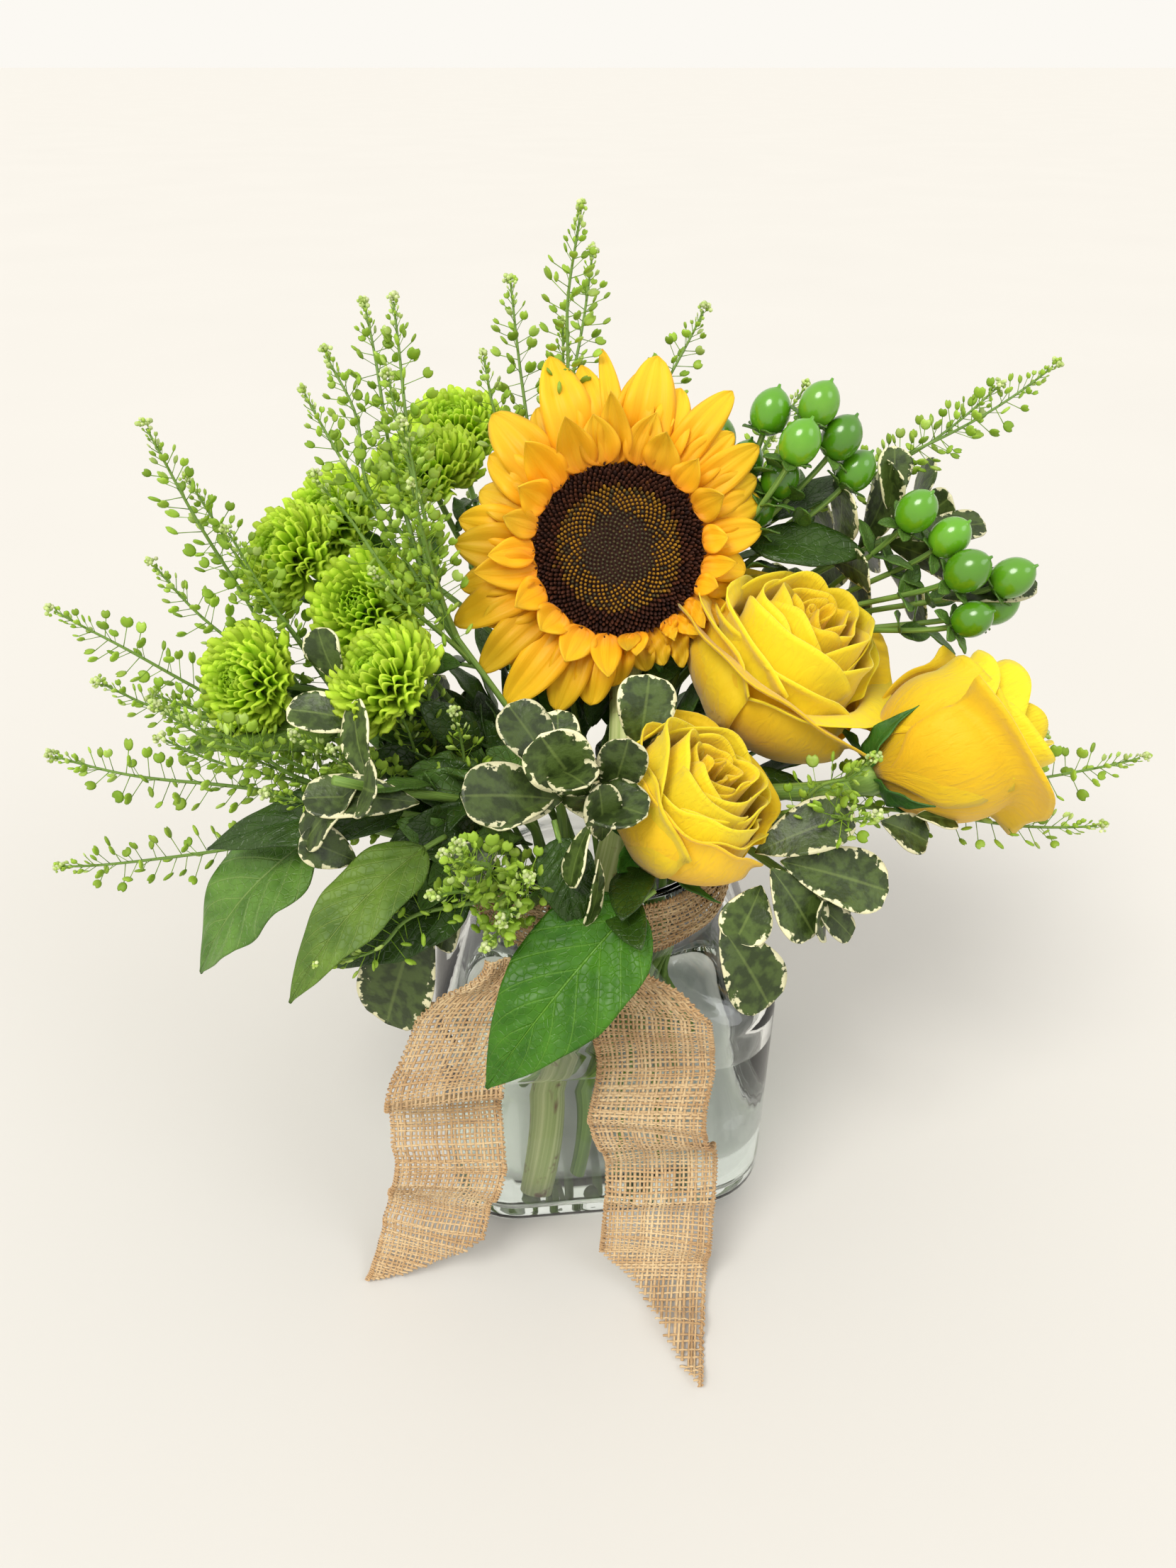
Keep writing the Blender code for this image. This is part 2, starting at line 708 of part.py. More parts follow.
def make_branched(name, sprig, ends, radius, stems):
    """A main stem to its first head, with the others branching off it at the fork."""
    fork = place(sprig.fork)
    trunk = rising_stem(sprig.slot, fork, (fork - mouth_point(sprig.slot)).normalized(), steps=4)
    onward = (trunk[-1] - trunk[-2]).normalized()
    first, axis = ends[0]
    reach = (first - fork).length
    short = axis * 0.006
    points = trunk + bend(fork, onward * reach, first - short, axis * reach * 0.6, 6)[1:] + [first]
    main = tube_mesh(name, points, [radius] * len(points), 6)
    limbs = []
    for number, (end, axis) in enumerate(ends[1:]):
        start = trunk[-1] - onward * (0.004 * number)
        reach = (end - start).length
        leave = ((end - start).normalized() + onward * 0.8).normalized()
        line = bend(start, leave * reach, end - axis * 0.006, axis * reach * 0.6, 6) + [end]
        thin = [radius * 0.7] * len(line)
        limbs.append(tube_mesh(f"{name}_limb_{number}", line, thin, 6))
    stems[name] = (points[:2], radius, 6)
    join_limbs(name, main, limbs, "green_stem")


def make_berries(stems):
    """Hypericum sprigs: forked twigs, each ending in one berry."""
    for name, sprig in BERRY_SPRIGS.items():
        fork = place(sprig.fork)
        trunk = rising_stem(sprig.slot, fork, (fork - mouth_point(sprig.slot)).normalized(), steps=5)
        onward = (trunk[-1] - trunk[-2]).normalized()
        main = tube_mesh(f"hypericum_{name}", trunk, [TWIG_RADIUS] * len(trunk), 6)
        limbs = []
        for number, spot in enumerate(sprig.tips):
            tip = place(spot)
            start = fork - onward * (0.002 + 0.003 * number)
            reach = (tip - start).length
            leave = ((tip - start).normalized() + onward * 0.7).normalized()
            arrive = ((tip - start).normalized() + UP * 0.3).normalized()
            line = bend(start, leave * reach, tip, arrive * reach * 0.6, 4)
            limbs.append(tube_mesh(f"{name}_twiglet_{number}", line, [TWIG_RADIUS * 0.75] * 5, 6))

            def build(work):
                bmesh.ops.create_icosphere(work, subdivisions=2, radius=0.5)
                bmesh.ops.scale(work, vec=(BERRY_WIDTH, BERRY_WIDTH, BERRY_LENGTH), verts=work.verts)

            berry = mesh_object(f"{name}_berry_{number}", build)
            berry.matrix_world = frame_towards(tip + arrive * (BERRY_LENGTH * 0.4), arrive)
            limbs.append(berry)
        stems[f"hypericum_{name}"] = (trunk[:2], TWIG_RADIUS, 6)
        join_limbs(f"hypericum_{name}", main, limbs, "berry")


def spike_radii(line, stem_radius):
    """Radii that swell into the pods' envelope near the tip of a raceme and close again."""
    left = [0.0]
    for first, second in zip(line[::-1], line[-2::-1]):
        left.append(left[-1] + (second - first).length)
    radii = []
    for distance in reversed(left):
        t = min(distance / POD_SPIKE_LENGTH, 1)
        swell = math.sin(math.pi * t) ** 0.7 if 0 < t < 1 else 0
        radii.append(stem_radius + (POD_SPIKE_RADIUS - stem_radius) * swell)
    radii[-1] = stem_radius
    return radii


def make_pods(stems):
    """Pennycress sprigs: thin forked stems, each limb swelling into a spike of pods."""
    for name, sprig in POD_SPRIGS.items():
        fork = place(sprig.fork)
        trunk = rising_stem(sprig.slot, fork, (fork - mouth_point(sprig.slot)).normalized(), steps=4)
        onward = (trunk[-1] - trunk[-2]).normalized()
        limbs = []
        main = None
        for number, spot in enumerate(sprig.tips):
            tip = place(spot)
            start = fork - onward * (0.005 * number)
            reach = (tip - start).length
            leave = ((tip - start).normalized() + onward * 0.6).normalized()
            arrive = ((tip - start).normalized() + UP * 0.2).normalized()
            line = bend(start, leave * reach, tip, arrive * reach, 6)
            if number == 0:
                radii = [POD_STEM_RADIUS] * (len(trunk) - 1) + spike_radii(line, POD_STEM_RADIUS)
                main = tube_mesh(f"pennycress_{name}", trunk[:-1] + line, radii, 6)
            else:
                radii = spike_radii(line, POD_STEM_RADIUS * 0.8)
                limbs.append(tube_mesh(f"{name}_raceme_{number}", line, radii, 6))
        stems[f"pennycress_{name}"] = (trunk[:2], POD_STEM_RADIUS, 6)
        join_limbs(f"pennycress_{name}", main, limbs, "pod")


def leaf_blade(name, base, tip, width, face, rows=6):
    """A cupped leaf blade from base to tip, its upper side towards face."""
    along = tip - base
    length = along.length
    along.normalize()
    side = along.cross(face).normalized()
    upper = side.cross(along).normalized()

    def build(work):
        bmesh.ops.create_grid(work, x_segments=2, y_segments=rows, size=1)
        for vert in work.verts:
            t = (vert.co.y + 1) / 2
            swell = max(math.sin(math.pi * t**0.85) ** 0.8, 0.06)
            across = vert.co.x * width / 2 * swell
            lift = length * 0.07 * math.sin(math.pi * t) - abs(vert.co.x) * width * 0.10 * swell
            vert.co = base + along * (length * t) + side * across + upper * lift

    blade = mesh_object(name, build, 70)
    solid = blade.modifiers.new("blade", "SOLIDIFY")
    solid.thickness = LEAF_THICK
    solid.offset = 0
    return blade


def make_salal(stems):
    """Salal: three woody stems, and the broad leaves that stand off them."""
    for name, (slot, spots) in SALAL_STEMS.items():
        points = [place(spot) for spot in spots]
        arrive = (points[-1] - points[0]).normalized()
        line = rising_stem(slot, points[0], arrive, steps=5) + [points[-1]]
        radii = [SALAL_STEM_RADIUS] * len(line)
        stems[f"salal_{name}"] = (line[:2], SALAL_STEM_RADIUS, 6)
        add_part(tube_curve(f"salal_stem_{name}", line, radii, 6), "green_stem")
    for name, leaf in SALAL_LEAVES.items():
        face = heading_vector(leaf.heading, leaf.tilt)
        blade = leaf_blade(f"salal_leaf_{name}", place(leaf.base), place(leaf.tip), leaf.width, face)
        add_part(blade, "salal_leaf")


def make_pittosporum(stems):
    """Pittosporum: twigs with a whorl of rounded leaves round each end."""
    length, width = PITTOSPORUM_LEAF
    for name, (slot, spot, facing, turn, count) in PITTOSPORUM.items():
        end = place(spot)
        arrive = heading_vector(*facing)
        line = rising_stem(slot, end, arrive, steps=6)
        twig = tube_mesh(f"pittosporum_{name}", line, [TWIG_RADIUS] * len(line), 6)
        around = arrive.orthogonal().normalized()
        limbs = []
        for number in range(count):
            swing = Matrix.Rotation(math.radians(turn + 360 * number / count), 3, arrive)
            out = swing @ around
            base = back_along(line, 0.0015 + 0.0027 * number)
            rise = 0.35 + 0.25 * (number % 2)
            tip = base + (out + arrive * rise).normalized() * length
            limbs.append(leaf_blade(f"{name}_leaf_{number}", base, tip, width, arrive - out * rise, 3))
        stems[f"pittosporum_{name}"] = (line[:2], TWIG_RADIUS, 6)
        join_limbs(f"pittosporum_{name}", twig, limbs, "variegated_leaf")


def make_materials():
    """One Principled material for each finish."""
    for name, finish in FINISHES.items():
        material = bpy.data.materials.new(name)
        material.use_nodes = True
        shader = material.node_tree.nodes["Principled BSDF"]
        shader.inputs["Base Color"].default_value = (*finish.colour, 1)
        shader.inputs["Roughness"].default_value = finish.roughness
        shader.inputs["Transmission Weight"].default_value = finish.transmission
        shader.inputs["Metallic"].default_value = 0
        materials[name] = material


def main():
    """Clear the scene and build the bouquet."""
    global parts, cutters
    for obj in list(bpy.data.objects):
        bpy.data.objects.remove(obj)
    parts = bpy.data.collections.new("sunflower_bouquet")
    cutters = bpy.data.collections.new("cutters")
    cutters.hide_render = True
    for collection in (parts, cutters):
        bpy.context.scene.collection.children.link(collection)
    make_materials()
    stems = {}
    make_jar()
    make_ribbon()
    make_sunflower(stems)
    for name, rose in ROSES.items():
        make_rose(name, rose, stems)
    make_mums(stems)
    make_berries(stems)
    make_pods(stems)
    make_salal(stems)
    make_pittosporum(stems)
    make_water(stems)


main()
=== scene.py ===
"""A sunflower bouquet in a square glass jar, tied with a burlap ribbon.

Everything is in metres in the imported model's frame: +Z up, the middle of the jar's underside at
the origin, the bouquet's front towards -Y. The jar, the ribbon and each kind of flower or leaf
is a class that builds its own meshes and dresses them in its own finishes.
"""

import logging
import math
from dataclasses import dataclass, replace
from enum import Enum

import bpy
import numpy as np
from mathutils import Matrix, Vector


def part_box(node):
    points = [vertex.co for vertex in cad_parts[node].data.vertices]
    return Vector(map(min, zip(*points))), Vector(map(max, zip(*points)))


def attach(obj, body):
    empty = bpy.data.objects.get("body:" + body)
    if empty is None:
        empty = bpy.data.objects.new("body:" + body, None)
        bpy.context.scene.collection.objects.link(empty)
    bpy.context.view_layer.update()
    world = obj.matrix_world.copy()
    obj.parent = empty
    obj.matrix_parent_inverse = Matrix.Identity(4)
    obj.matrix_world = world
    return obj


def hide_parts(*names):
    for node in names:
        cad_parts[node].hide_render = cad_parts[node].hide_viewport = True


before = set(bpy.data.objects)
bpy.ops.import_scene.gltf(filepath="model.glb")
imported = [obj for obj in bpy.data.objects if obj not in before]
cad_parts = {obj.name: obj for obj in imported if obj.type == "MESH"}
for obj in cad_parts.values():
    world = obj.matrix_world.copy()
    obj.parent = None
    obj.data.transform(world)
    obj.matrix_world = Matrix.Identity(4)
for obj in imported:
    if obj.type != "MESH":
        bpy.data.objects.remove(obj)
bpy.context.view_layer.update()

BODY = "root"
GOLDEN_ANGLE = math.radians(137.508)  # turn between one leaf, floret or pod and the next
MM = 0.001
TURN = 2 * math.pi

Array = np.ndarray
Draw = np.random.Generator
Node = bpy.types.Node
Tree = bpy.types.NodeTree
LOG = logging.getLogger("bouquet")


# ---- shapes


def vec(*values: float) -> Array:
    """A point or direction as an array."""
    return np.array(values, dtype=float)


def beside(*columns: Array | float) -> Array:
    """Values side by side along a new last axis."""
    return np.stack(np.broadcast_arrays(*columns), axis=-1)


def unit(vectors: Array) -> Array:
    """Vectors scaled to length one, along the last axis."""
    return vectors / np.maximum(np.linalg.norm(vectors, axis=-1, keepdims=True), 1e-15)


def towards(heading: float, tilt: float = 0.0) -> Array:
    """Unit vector for a heading (0 is the front, 90 the right) and a tilt above level, in degrees."""
    turn, lift = math.radians(heading), math.radians(tilt)
    return vec(math.sin(turn) * math.cos(lift), -math.cos(turn) * math.cos(lift), math.sin(lift))


def ease(value: Array, low: float, high: float) -> Array:
    """0 below low, 1 above high, and smooth between them."""
    t = np.clip((value - low) / (high - low), 0, 1)
    return t * t * (3 - 2 * t)


def spoke(first: Array, second: Array, angle: Array | float) -> Array:
    """Directions at angles in the plane of two directions, turned from the first to the second."""
    return first * np.cos(angle)[..., None] + second * np.sin(angle)[..., None]


def blade_grid(rows: int, columns: int) -> list[Array]:
    """Shares along a blade, 0 to 1, and across it, -1 to 1, at each point of a grid."""
    return np.meshgrid(np.linspace(0, 1, rows), np.linspace(-1, 1, columns), indexing="ij")


def stand(name: str, data: bpy.types.ID) -> bpy.types.Object:
    """A new object in the scene, from its mesh, lamp or camera."""
    made = bpy.data.objects.new(name, data)
    bpy.context.scene.collection.objects.link(made)
    return made


def corners_of(node: str) -> tuple[Array, Array]:
    """The low and high corners of a CAD node."""
    low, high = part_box(node)
    return np.array(low), np.array(high)


def middle_of(node: str) -> Array:
    """The middle of a CAD node's box."""
    low, high = corners_of(node)
    return (low + high) / 2


def hermite(start: Array, leave: Array, end: Array, arrive: Array, t: Array) -> Array:
    """Points at shares t of the smooth curve with these ends and directions."""
    return (
        start * (2 * t**3 - 3 * t**2 + 1)
        + leave * (t**3 - 2 * t**2 + t)
        + end * (3 * t**2 - 2 * t**3)
        + arrive * (t**3 - t**2)
    )


def bend(start: Array, leave: Array, end: Array, arrive: Array, count: int) -> Array:
    """Points of a smooth curve between two points.

    Args:
        start: First point.
        leave: Direction and strength at the start.
        end: Last point.
        arrive: Direction and strength at the end.
        count: Number of steps along it.

    Returns:
        An array of count + 1 points.
    """
    return hermite(start, leave, end, arrive, np.linspace(0, 1, count + 1)[:, None])


def along_line(line: Array, distances: Array) -> Array:
    """Points at the given distances from the start of a line of points."""
    run = np.concatenate([[0], np.cumsum(np.linalg.norm(np.diff(line, axis=0), axis=1))])
    return beside(*(np.interp(distances, run, line[:, axis]) for axis in range(3)))


def line_length(line: Array) -> float:
    """Length of a line of points."""
    return float(np.linalg.norm(np.diff(line, axis=0), axis=1).sum())


def frames(origins: Array, axes: Array, hints: Array, scales: Array | float = 1.0) -> Array:
    """Placements whose Z runs along axes and whose X leans to hints.

    Args:
        origins: Points, n x 3.
        axes: Directions of local Z.
        hints: Directions that local X leans to.
        scales: One scale, or three for each placement.

    Returns:
        Matrices, n x 4 x 4.
    """
    origins = np.atleast_2d(origins)
    axes = unit(np.broadcast_to(axes, origins.shape))
    hints = np.broadcast_to(hints, origins.shape)
    across = unit(hints - (hints * axes).sum(-1, keepdims=True) * axes)
    sizes = np.broadcast_to(scales, origins.shape)
    made = np.zeros((len(origins), 4, 4))
    made[:, :3, 0] = across * sizes[:, :1]
    made[:, :3, 1] = np.cross(axes, across) * sizes[:, 1:2]
    made[:, :3, 2] = axes * sizes[:, 2:]
    made[:, :3, 3] = origins
    made[:, 3, 3] = 1
    return made


@dataclass
class Patch:
    """One surface: its points, its faces by index, and a u, v pair for each point."""

    points: Array
    faces: list[Array]
    uv: Array


def grid(points: Array, closed: bool = False, capped: bool = False, uv: Array | None = None) -> Patch:
    """Skin a grid of points with quads.

    Args:
        points: rows x columns x 3; the normal is columns crossed with rows.
        closed: Joins the last column to the first.
        capped: Closes the first and last rows with one face each.
        uv: rows x columns x 2, or none for an even spread.

    Returns:
        The surface.
    """
    rows, columns = points.shape[:2]
    index = np.arange(rows * columns).reshape(rows, columns)
    ring = np.concatenate([index, index[:, :1]], axis=1) if closed else index
    quads = beside(ring[:-1, :-1], ring[:-1, 1:], ring[1:, 1:], ring[1:, :-1])
    faces = [quads.reshape(-1, 4)]
    if capped:
        faces += [index[:1, ::-1], index[-1:]]
    if uv is None:
        u, v = np.meshgrid(np.linspace(0, 1, columns), np.linspace(0, 1, rows))
        uv = beside(u, v)
    return Patch(points.reshape(-1, 3), faces, uv.reshape(-1, 2))


def shell(points: Array, thickness: float) -> Patch:
    """A blade or petal with real thickness: both faces of a grid, joined all round its edge."""
    rows, columns = points.shape[:2]
    normal = unit(np.cross(np.gradient(points, axis=1), np.gradient(points, axis=0)))
    offset = normal * thickness / 2
    both = np.concatenate([points + offset, (points - offset)[:, ::-1]], axis=1)
    u, v = np.meshgrid(np.linspace(0, 1, columns), np.linspace(0, 1, rows))
    u, v = np.concatenate([u, u[:, ::-1]], axis=1), np.concatenate([v, v], axis=1)
    patch = grid(both, closed=True, uv=beside(u, v))
    index = np.arange(rows * 2 * columns).reshape(rows, 2 * columns)
    for row, step in ((0, 1), (rows - 1, -1)):
        top, under = index[row, :columns], index[row, columns:][::-1]
        edge = beside(top[:-1], under[:-1], under[1:], top[1:])
        patch.faces.append(edge[:, ::step])
    return patch


def tube(line: Array, radii: Array | float, sides: int = 8, flat: float = 1.0) -> Patch:
    """A round or flattened tube along a line of points, closed at both ends."""
    radii = np.broadcast_to(radii, len(line))[:, None, None]
    tangent = unit(np.gradient(line, axis=0))
    hint = np.eye(3)[np.argmin(np.abs(tangent.mean(axis=0)))]
    across = unit(hint - (tangent @ hint)[:, None] * tangent)
    third = np.cross(tangent, across)
    angle = np.linspace(0, TURN, sides, endpoint=False)[None, :, None]
    ring = np.cos(angle) * across[:, None] + np.sin(angle) * third[:, None] * flat
    return grid(line[:, None] + ring * radii, closed=True, capped=True)


def lathe(profile: list[tuple[float, float]], around: int = 16) -> Patch:
    """A surface turned about local Z from (radius, height) pairs, bottom to top."""
    radius, height = np.array(profile).T
    angle = np.linspace(0, TURN, around, endpoint=False)
    ring = beside(np.cos(angle), np.sin(angle), 0.0)
    points = ring[None] * np.maximum(radius, 1e-5)[:, None, None]
    return grid(points + height[:, None, None] * vec(0, 0, 1), closed=True, capped=True)


class Shape:
    """The surfaces of one piece, gathered before its mesh is made."""

    def __init__(self) -> None:
        """Start with nothing in it."""
        self.points: list[Array] = []
        self.uv: list[Array] = []
        self.tints: list[Array] = []
        self.faces: list[tuple[Array, int]] = []
        self.count = 0

    def stamp(self, patch: Patch, places: Array, tints: Array | tuple, slot: int = 0) -> None:
        """Add a copy of a surface at each placement.

        Args:
            patch: The surface to copy.
            places: Matrices, n x 4 x 4.
            tints: Three values from 0 to 1 for each copy or for all, which the finish reads.
            slot: Which of the piece's materials it takes.
        """
        size = len(patch.points)
        copies = len(places)
        moved = np.einsum("nij,mj->nmi", places[:, :3, :3], patch.points) + places[:, None, :3, 3]
        self.points.append(moved.reshape(-1, 3))
        self.uv.append(np.tile(patch.uv, (copies, 1)))
        self.tints.append(np.repeat(np.broadcast_to(tints, (copies, 3)), size, axis=0))
        shift = (self.count + size * np.arange(copies))[:, None, None]
        for faces in patch.faces:
            self.faces.append(((faces[None] + shift).reshape(-1, faces.shape[1]), slot))
        self.count += size * copies

    def add(self, patch: Patch, tint: tuple = (0.5, 0.5, 0.5), slot: int = 0) -> None:
        """Add a surface that is already in place."""
        self.stamp(patch, np.eye(4)[None], tint, slot)

    def build(self, name: str, finishes: list["Finish"], slot: str, nodes: tuple = ()) -> bpy.types.Object:
        """Make the piece's mesh and put it into the frame.

        Args:
            name: The piece's name.
            finishes: Its finishes, in the order of its slots.
            slot: The record's material slot that it belongs to; not used.
            nodes: The CAD nodes that it stands for.

        Returns:
            The new object.
        """
        corners = np.concatenate([faces.ravel() for faces, _ in self.faces])
        sizes = np.concatenate([np.full(len(faces), faces.shape[1]) for faces, _ in self.faces])
        used = np.concatenate([np.full(len(faces), number) for faces, number in self.faces])
        mesh = bpy.data.meshes.new(name)
        mesh.vertices.add(self.count)
        mesh.vertices.foreach_set("co", np.concatenate(self.points).astype(np.float32).ravel())
        mesh.loops.add(len(corners))
        mesh.loops.foreach_set("vertex_index", corners.astype(np.int32))
        mesh.polygons.add(len(sizes))
        mesh.polygons.foreach_set("loop_start", (np.cumsum(sizes) - sizes).astype(np.int32))
        mesh.polygons.foreach_set("material_index", used.astype(np.int32))
        mesh.polygons.foreach_set("use_smooth", np.ones(len(sizes), dtype=bool))
        layer = mesh.uv_layers.new(name="blade")
        layer.data.foreach_set("uv", np.concatenate(self.uv)[corners].astype(np.float32).ravel())
        tints = np.concatenate(self.tints)
        colours = np.concatenate([tints, np.ones((len(tints), 1))], axis=1)
        kept = mesh.attributes.new("tint", "FLOAT_COLOR", "POINT")
        kept.data.foreach_set("color", colours.astype(np.float32).ravel())
        mesh.update(calc_edges=True)
        mesh.validate()
        for finish in finishes:
            mesh.materials.append(finish.material())
        made = stand(name, mesh)
        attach(made, BODY)
        if nodes:
            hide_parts(*nodes)
        LOG.info("%s: %d points, %d faces", name, self.count, len(sizes))
        return made


# ---- finishes


def linear(colour: str) -> tuple[float, float, float, float]:
    """An sRGB hex colour such as "#FFC800" as linear red, green, blue and alpha."""
    shares = [int(colour[start : start + 2], 16) / 255 for start in (1, 3, 5)]
    made = [share / 12.92 if share <= 0.04045 else ((share + 0.055) / 1.055) ** 2.4 for share in shares]
    return (*made, 1.0)


def add_node(tree: Tree, kind: str, inputs: dict | None = None, **settings) -> Node:
    """Add a shader node with its settings and links.

    Args:
        tree: The material's node tree.
        kind: The node's type, without "ShaderNode".
        inputs: For each socket, by name or number: a value, a hex colour, a node whose first
            output feeds it, or a pair of a node and the name of its output.
        **settings: The node's own properties; stops are a colour ramp's (place, colour) pairs.

    Returns:
        The new node.
    """
    made = tree.nodes.new("ShaderNode" + kind)
    stops = settings.pop("stops", None)
    for key, value in settings.items():
        setattr(made, key, value)
    if stops:
        ramp = made.color_ramp.elements
        while len(ramp) < len(stops):
            ramp.new(0.5)
        for element, (where, colour) in zip(ramp, stops):
            element.position = where
            element.color = linear(colour)
    for key, value in (inputs or {}).items():
        socket = made.inputs[key]
        if isinstance(value, Node):
            value = (value, next(out.name for out in value.outputs if out.enabled))
        if isinstance(value, tuple) and isinstance(value[0], Node):
            source = next(out for out in value[0].outputs if out.enabled and out.name == value[1])
            tree.links.new(source, socket)
        else:
            socket.default_value = linear(value) if isinstance(value, str) else value
    return made


@dataclass(frozen=True)
class Finish:
    """A surface that scatters light, with some let through thin parts.

    The subclasses paint it: paint() gives the colour and relief() the fine height. The other
    methods are the steps that several of them share.
    """

    name: str
    roughness: float = 0.6
    specular: float = 0.5
    let_through: float = 0.0  # share of the light that comes out of the far side
    coat: float = 0.0
    sheen: float = 0.0
    relief_depth: float = 0.0  # metres

    def paint(self, tree: Tree) -> Node:
        """The surface's colour."""
        raise NotImplementedError

    def relief(self, tree: Tree) -> Node | None:
        """The fine height on the surface, or none."""
        return None

    def part_tint(self, tree: Tree) -> Node:
        """The three values that each part of a piece carries, as X, Y and Z."""
        carried = add_node(tree, "Attribute", attribute_name="tint")
        return add_node(tree, "SeparateXYZ", {0: (carried, "Vector")})

    def place(self, tree: Tree) -> Node:
        """How far a point is across (X) and along (Y) its petal, blade or stem, from 0 to 1."""
        return add_node(tree, "SeparateXYZ", {0: add_node(tree, "UVMap")})

    def mottling(self, tree: Tree, size: float, detail: float = 3.0) -> Node:
        """Noise in the piece's own space, with blots of about this size in metres."""
        spot = (add_node(tree, "TexCoord"), "Object")
        return add_node(tree, "TexNoise", {"Vector": spot, "Scale": 1 / size, "Detail": detail})

    def drawn_out(self, tree: Tree, stretch: tuple, **noise: float) -> Node:
        """Noise drawn out along a part, with so many blots across it and along it."""
        drawn = add_node(tree, "Mapping", {"Vector": add_node(tree, "UVMap"), "Scale": (*stretch, 1)})
        return add_node(tree, "TexNoise", {"Vector": drawn, "Scale": 1.0, **noise})

    def maths(self, tree: Tree, operation: str, *values: Node | tuple | float) -> Node:
        """One step of arithmetic on outputs and constants."""
        return add_node(tree, "Math", dict(enumerate(values)), operation=operation)

    def over(self, tree: Tree, share: Node | tuple, under: Node, top: Node | str) -> Node:
        """One colour laid over another by a share."""
        return add_node(tree, "Mix", {0: share, 6: under, 7: top}, data_type="RGBA")

    def ranged(self, tree: Tree, value: Node | tuple, span: tuple, to: tuple = (0.0, 1.0)) -> Node:
        """A value's span stretched to another span, and held at its ends."""
        limits = {"From Min": span[0], "From Max": span[1], "To Min": to[0], "To Max": to[1]}
        return add_node(tree, "MapRange", {"Value": value, **limits})

    def varied(self, tree: Tree, colour: Node, tint: tuple, low: float, high: float) -> Node:
        """A colour made darker or lighter from part to part, between two levels."""
        level = self.ranged(tree, tint, (0.0, 1.0), (low, high))
        return add_node(tree, "HueSaturation", {"Color": colour, "Value": level})

    def surface(self, tree: Tree) -> Node:
        """The whole finish as one shader."""
        colour = self.paint(tree)
        front = {
            "Base Color": colour,
            "Roughness": self.roughness,
            "Specular IOR Level": self.specular,
            "Coat Weight": self.coat,
            "Coat Roughness": 0.12,
            "Sheen Weight": self.sheen,
            "Sheen Roughness": 0.5,
        }
        back = {"Color": colour}
        height = self.relief(tree)
        if height is not None:
            bump = add_node(tree, "Bump", {"Height": height, "Distance": self.relief_depth})
            front["Normal"] = bump
            back["Normal"] = bump
        shader = add_node(tree, "BsdfPrincipled", front)
        if self.let_through:
            through = add_node(tree, "BsdfTranslucent", back)
            shader = add_node(tree, "MixShader", {0: self.let_through, 1: shader, 2: through})
        return shader

    def material(self) -> bpy.types.Material:
        """The material, made the first time that it is asked for."""
        made = bpy.data.materials.get(self.name)
        if made is None:
            made = bpy.data.materials.new(self.name)
            made.use_nodes = True
            made.node_tree.nodes.clear()
            add_node(made.node_tree, "OutputMaterial", {"Surface": self.surface(made.node_tree)})
        return made


@dataclass(frozen=True)
class RayPetal(Finish):
    """Sunflower ray: satin, ridged along its length, orange at the root and gold at the tip; the root's
    orange is partly the ray's own colour and partly painted shade where the rays meet the disc.
    """

    # root: orange at the ray's base, partly its own colour and partly painted shade by the disc
    root: str = "#F49A04"
    middle: str = "#FFC00A"
    tip: str = "#FFD422"
    ridges: float = 9.0  # across one petal, so about 1.5 mm apart
    streaking: float = 0.11  # how far the ridges move the colour along the ramp

    def relief(self, tree: Tree) -> Node:
        """Long fine ridges."""
        return self.drawn_out(tree, (self.ridges, 0.9), Scale=1.6, Detail=3.0)

    def paint(self, tree: Tree) -> Node:
        """Gold that deepens to orange at the root, partly painted shade there, with streaks and
        petal-to-petal variation.
        """
        shift = self.maths(tree, "MULTIPLY_ADD", self.relief(tree), 2 * self.streaking, -self.streaking)
        place = self.maths(tree, "ADD", (self.place(tree), "Y"), shift)
        stops = ((0.0, self.root), (0.30, self.middle), (0.85, self.tip))
        ramp = add_node(tree, "ValToRGB", {0: place}, stops=stops)
        return self.varied(tree, ramp, (self.part_tint(tree), "X"), 0.82, 1.08)


@dataclass(frozen=True)
class RosePetal(Finish):
    """Rose petal: thick velvet, clear yellow inside, deeper and finely creased on the outer backs; its deeper
    base and heart are partly painted shade and its pale lip partly a painted highlight.
    """

    # base, middle and lip: the petal's own yellows along it, with painted shade in the deep base and a
    # painted highlight in the pale lip
    base: str = "#ECB808"
    middle: str = "#FFDE14"
    lip: str = "#FFEE2C"
    # heart: deeper gold for the inner petals, partly their own colour and partly painted shade
    heart: str = "#FFD014"
    outer: str = "#F8C010"
    streaking: float = 0.12  # how far the creases move the colour along the ramp

    def relief(self, tree: Tree) -> Node:
        """Fine creases, 1 to 2 mm apart, drawn out along the petal."""
        return self.drawn_out(tree, (24, 6), Detail=6.0, Distortion=1.2)

    def paint(self, tree: Tree) -> Node:
        """Deep gold at the heart and base, partly the petal's own colour and partly painted shade; clear
        yellow at the lip, partly a painted highlight; warmer on the outermost petals.
        """
        shift = self.maths(tree, "MULTIPLY_ADD", self.relief(tree), 2 * self.streaking, -self.streaking)
        place = self.maths(tree, "ADD", (self.place(tree), "Y"), shift)
        stops = ((0.0, self.base), (0.40, self.middle), (0.90, self.lip))
        ramp = add_node(tree, "ValToRGB", {0: place}, stops=stops)
        tint = self.part_tint(tree)
        # the heart's deeper gold, partly painted shade, laid on the inner petals
        inner = self.over(tree, (tint, "Y"), ramp, self.heart)
        # the outermost petals laid over with the deeper outer gold
        outer_deepened = self.over(tree, (tint, "Z"), inner, self.outer)
        return self.varied(tree, outer_deepened, (tint, "X"), 0.9, 1.06)


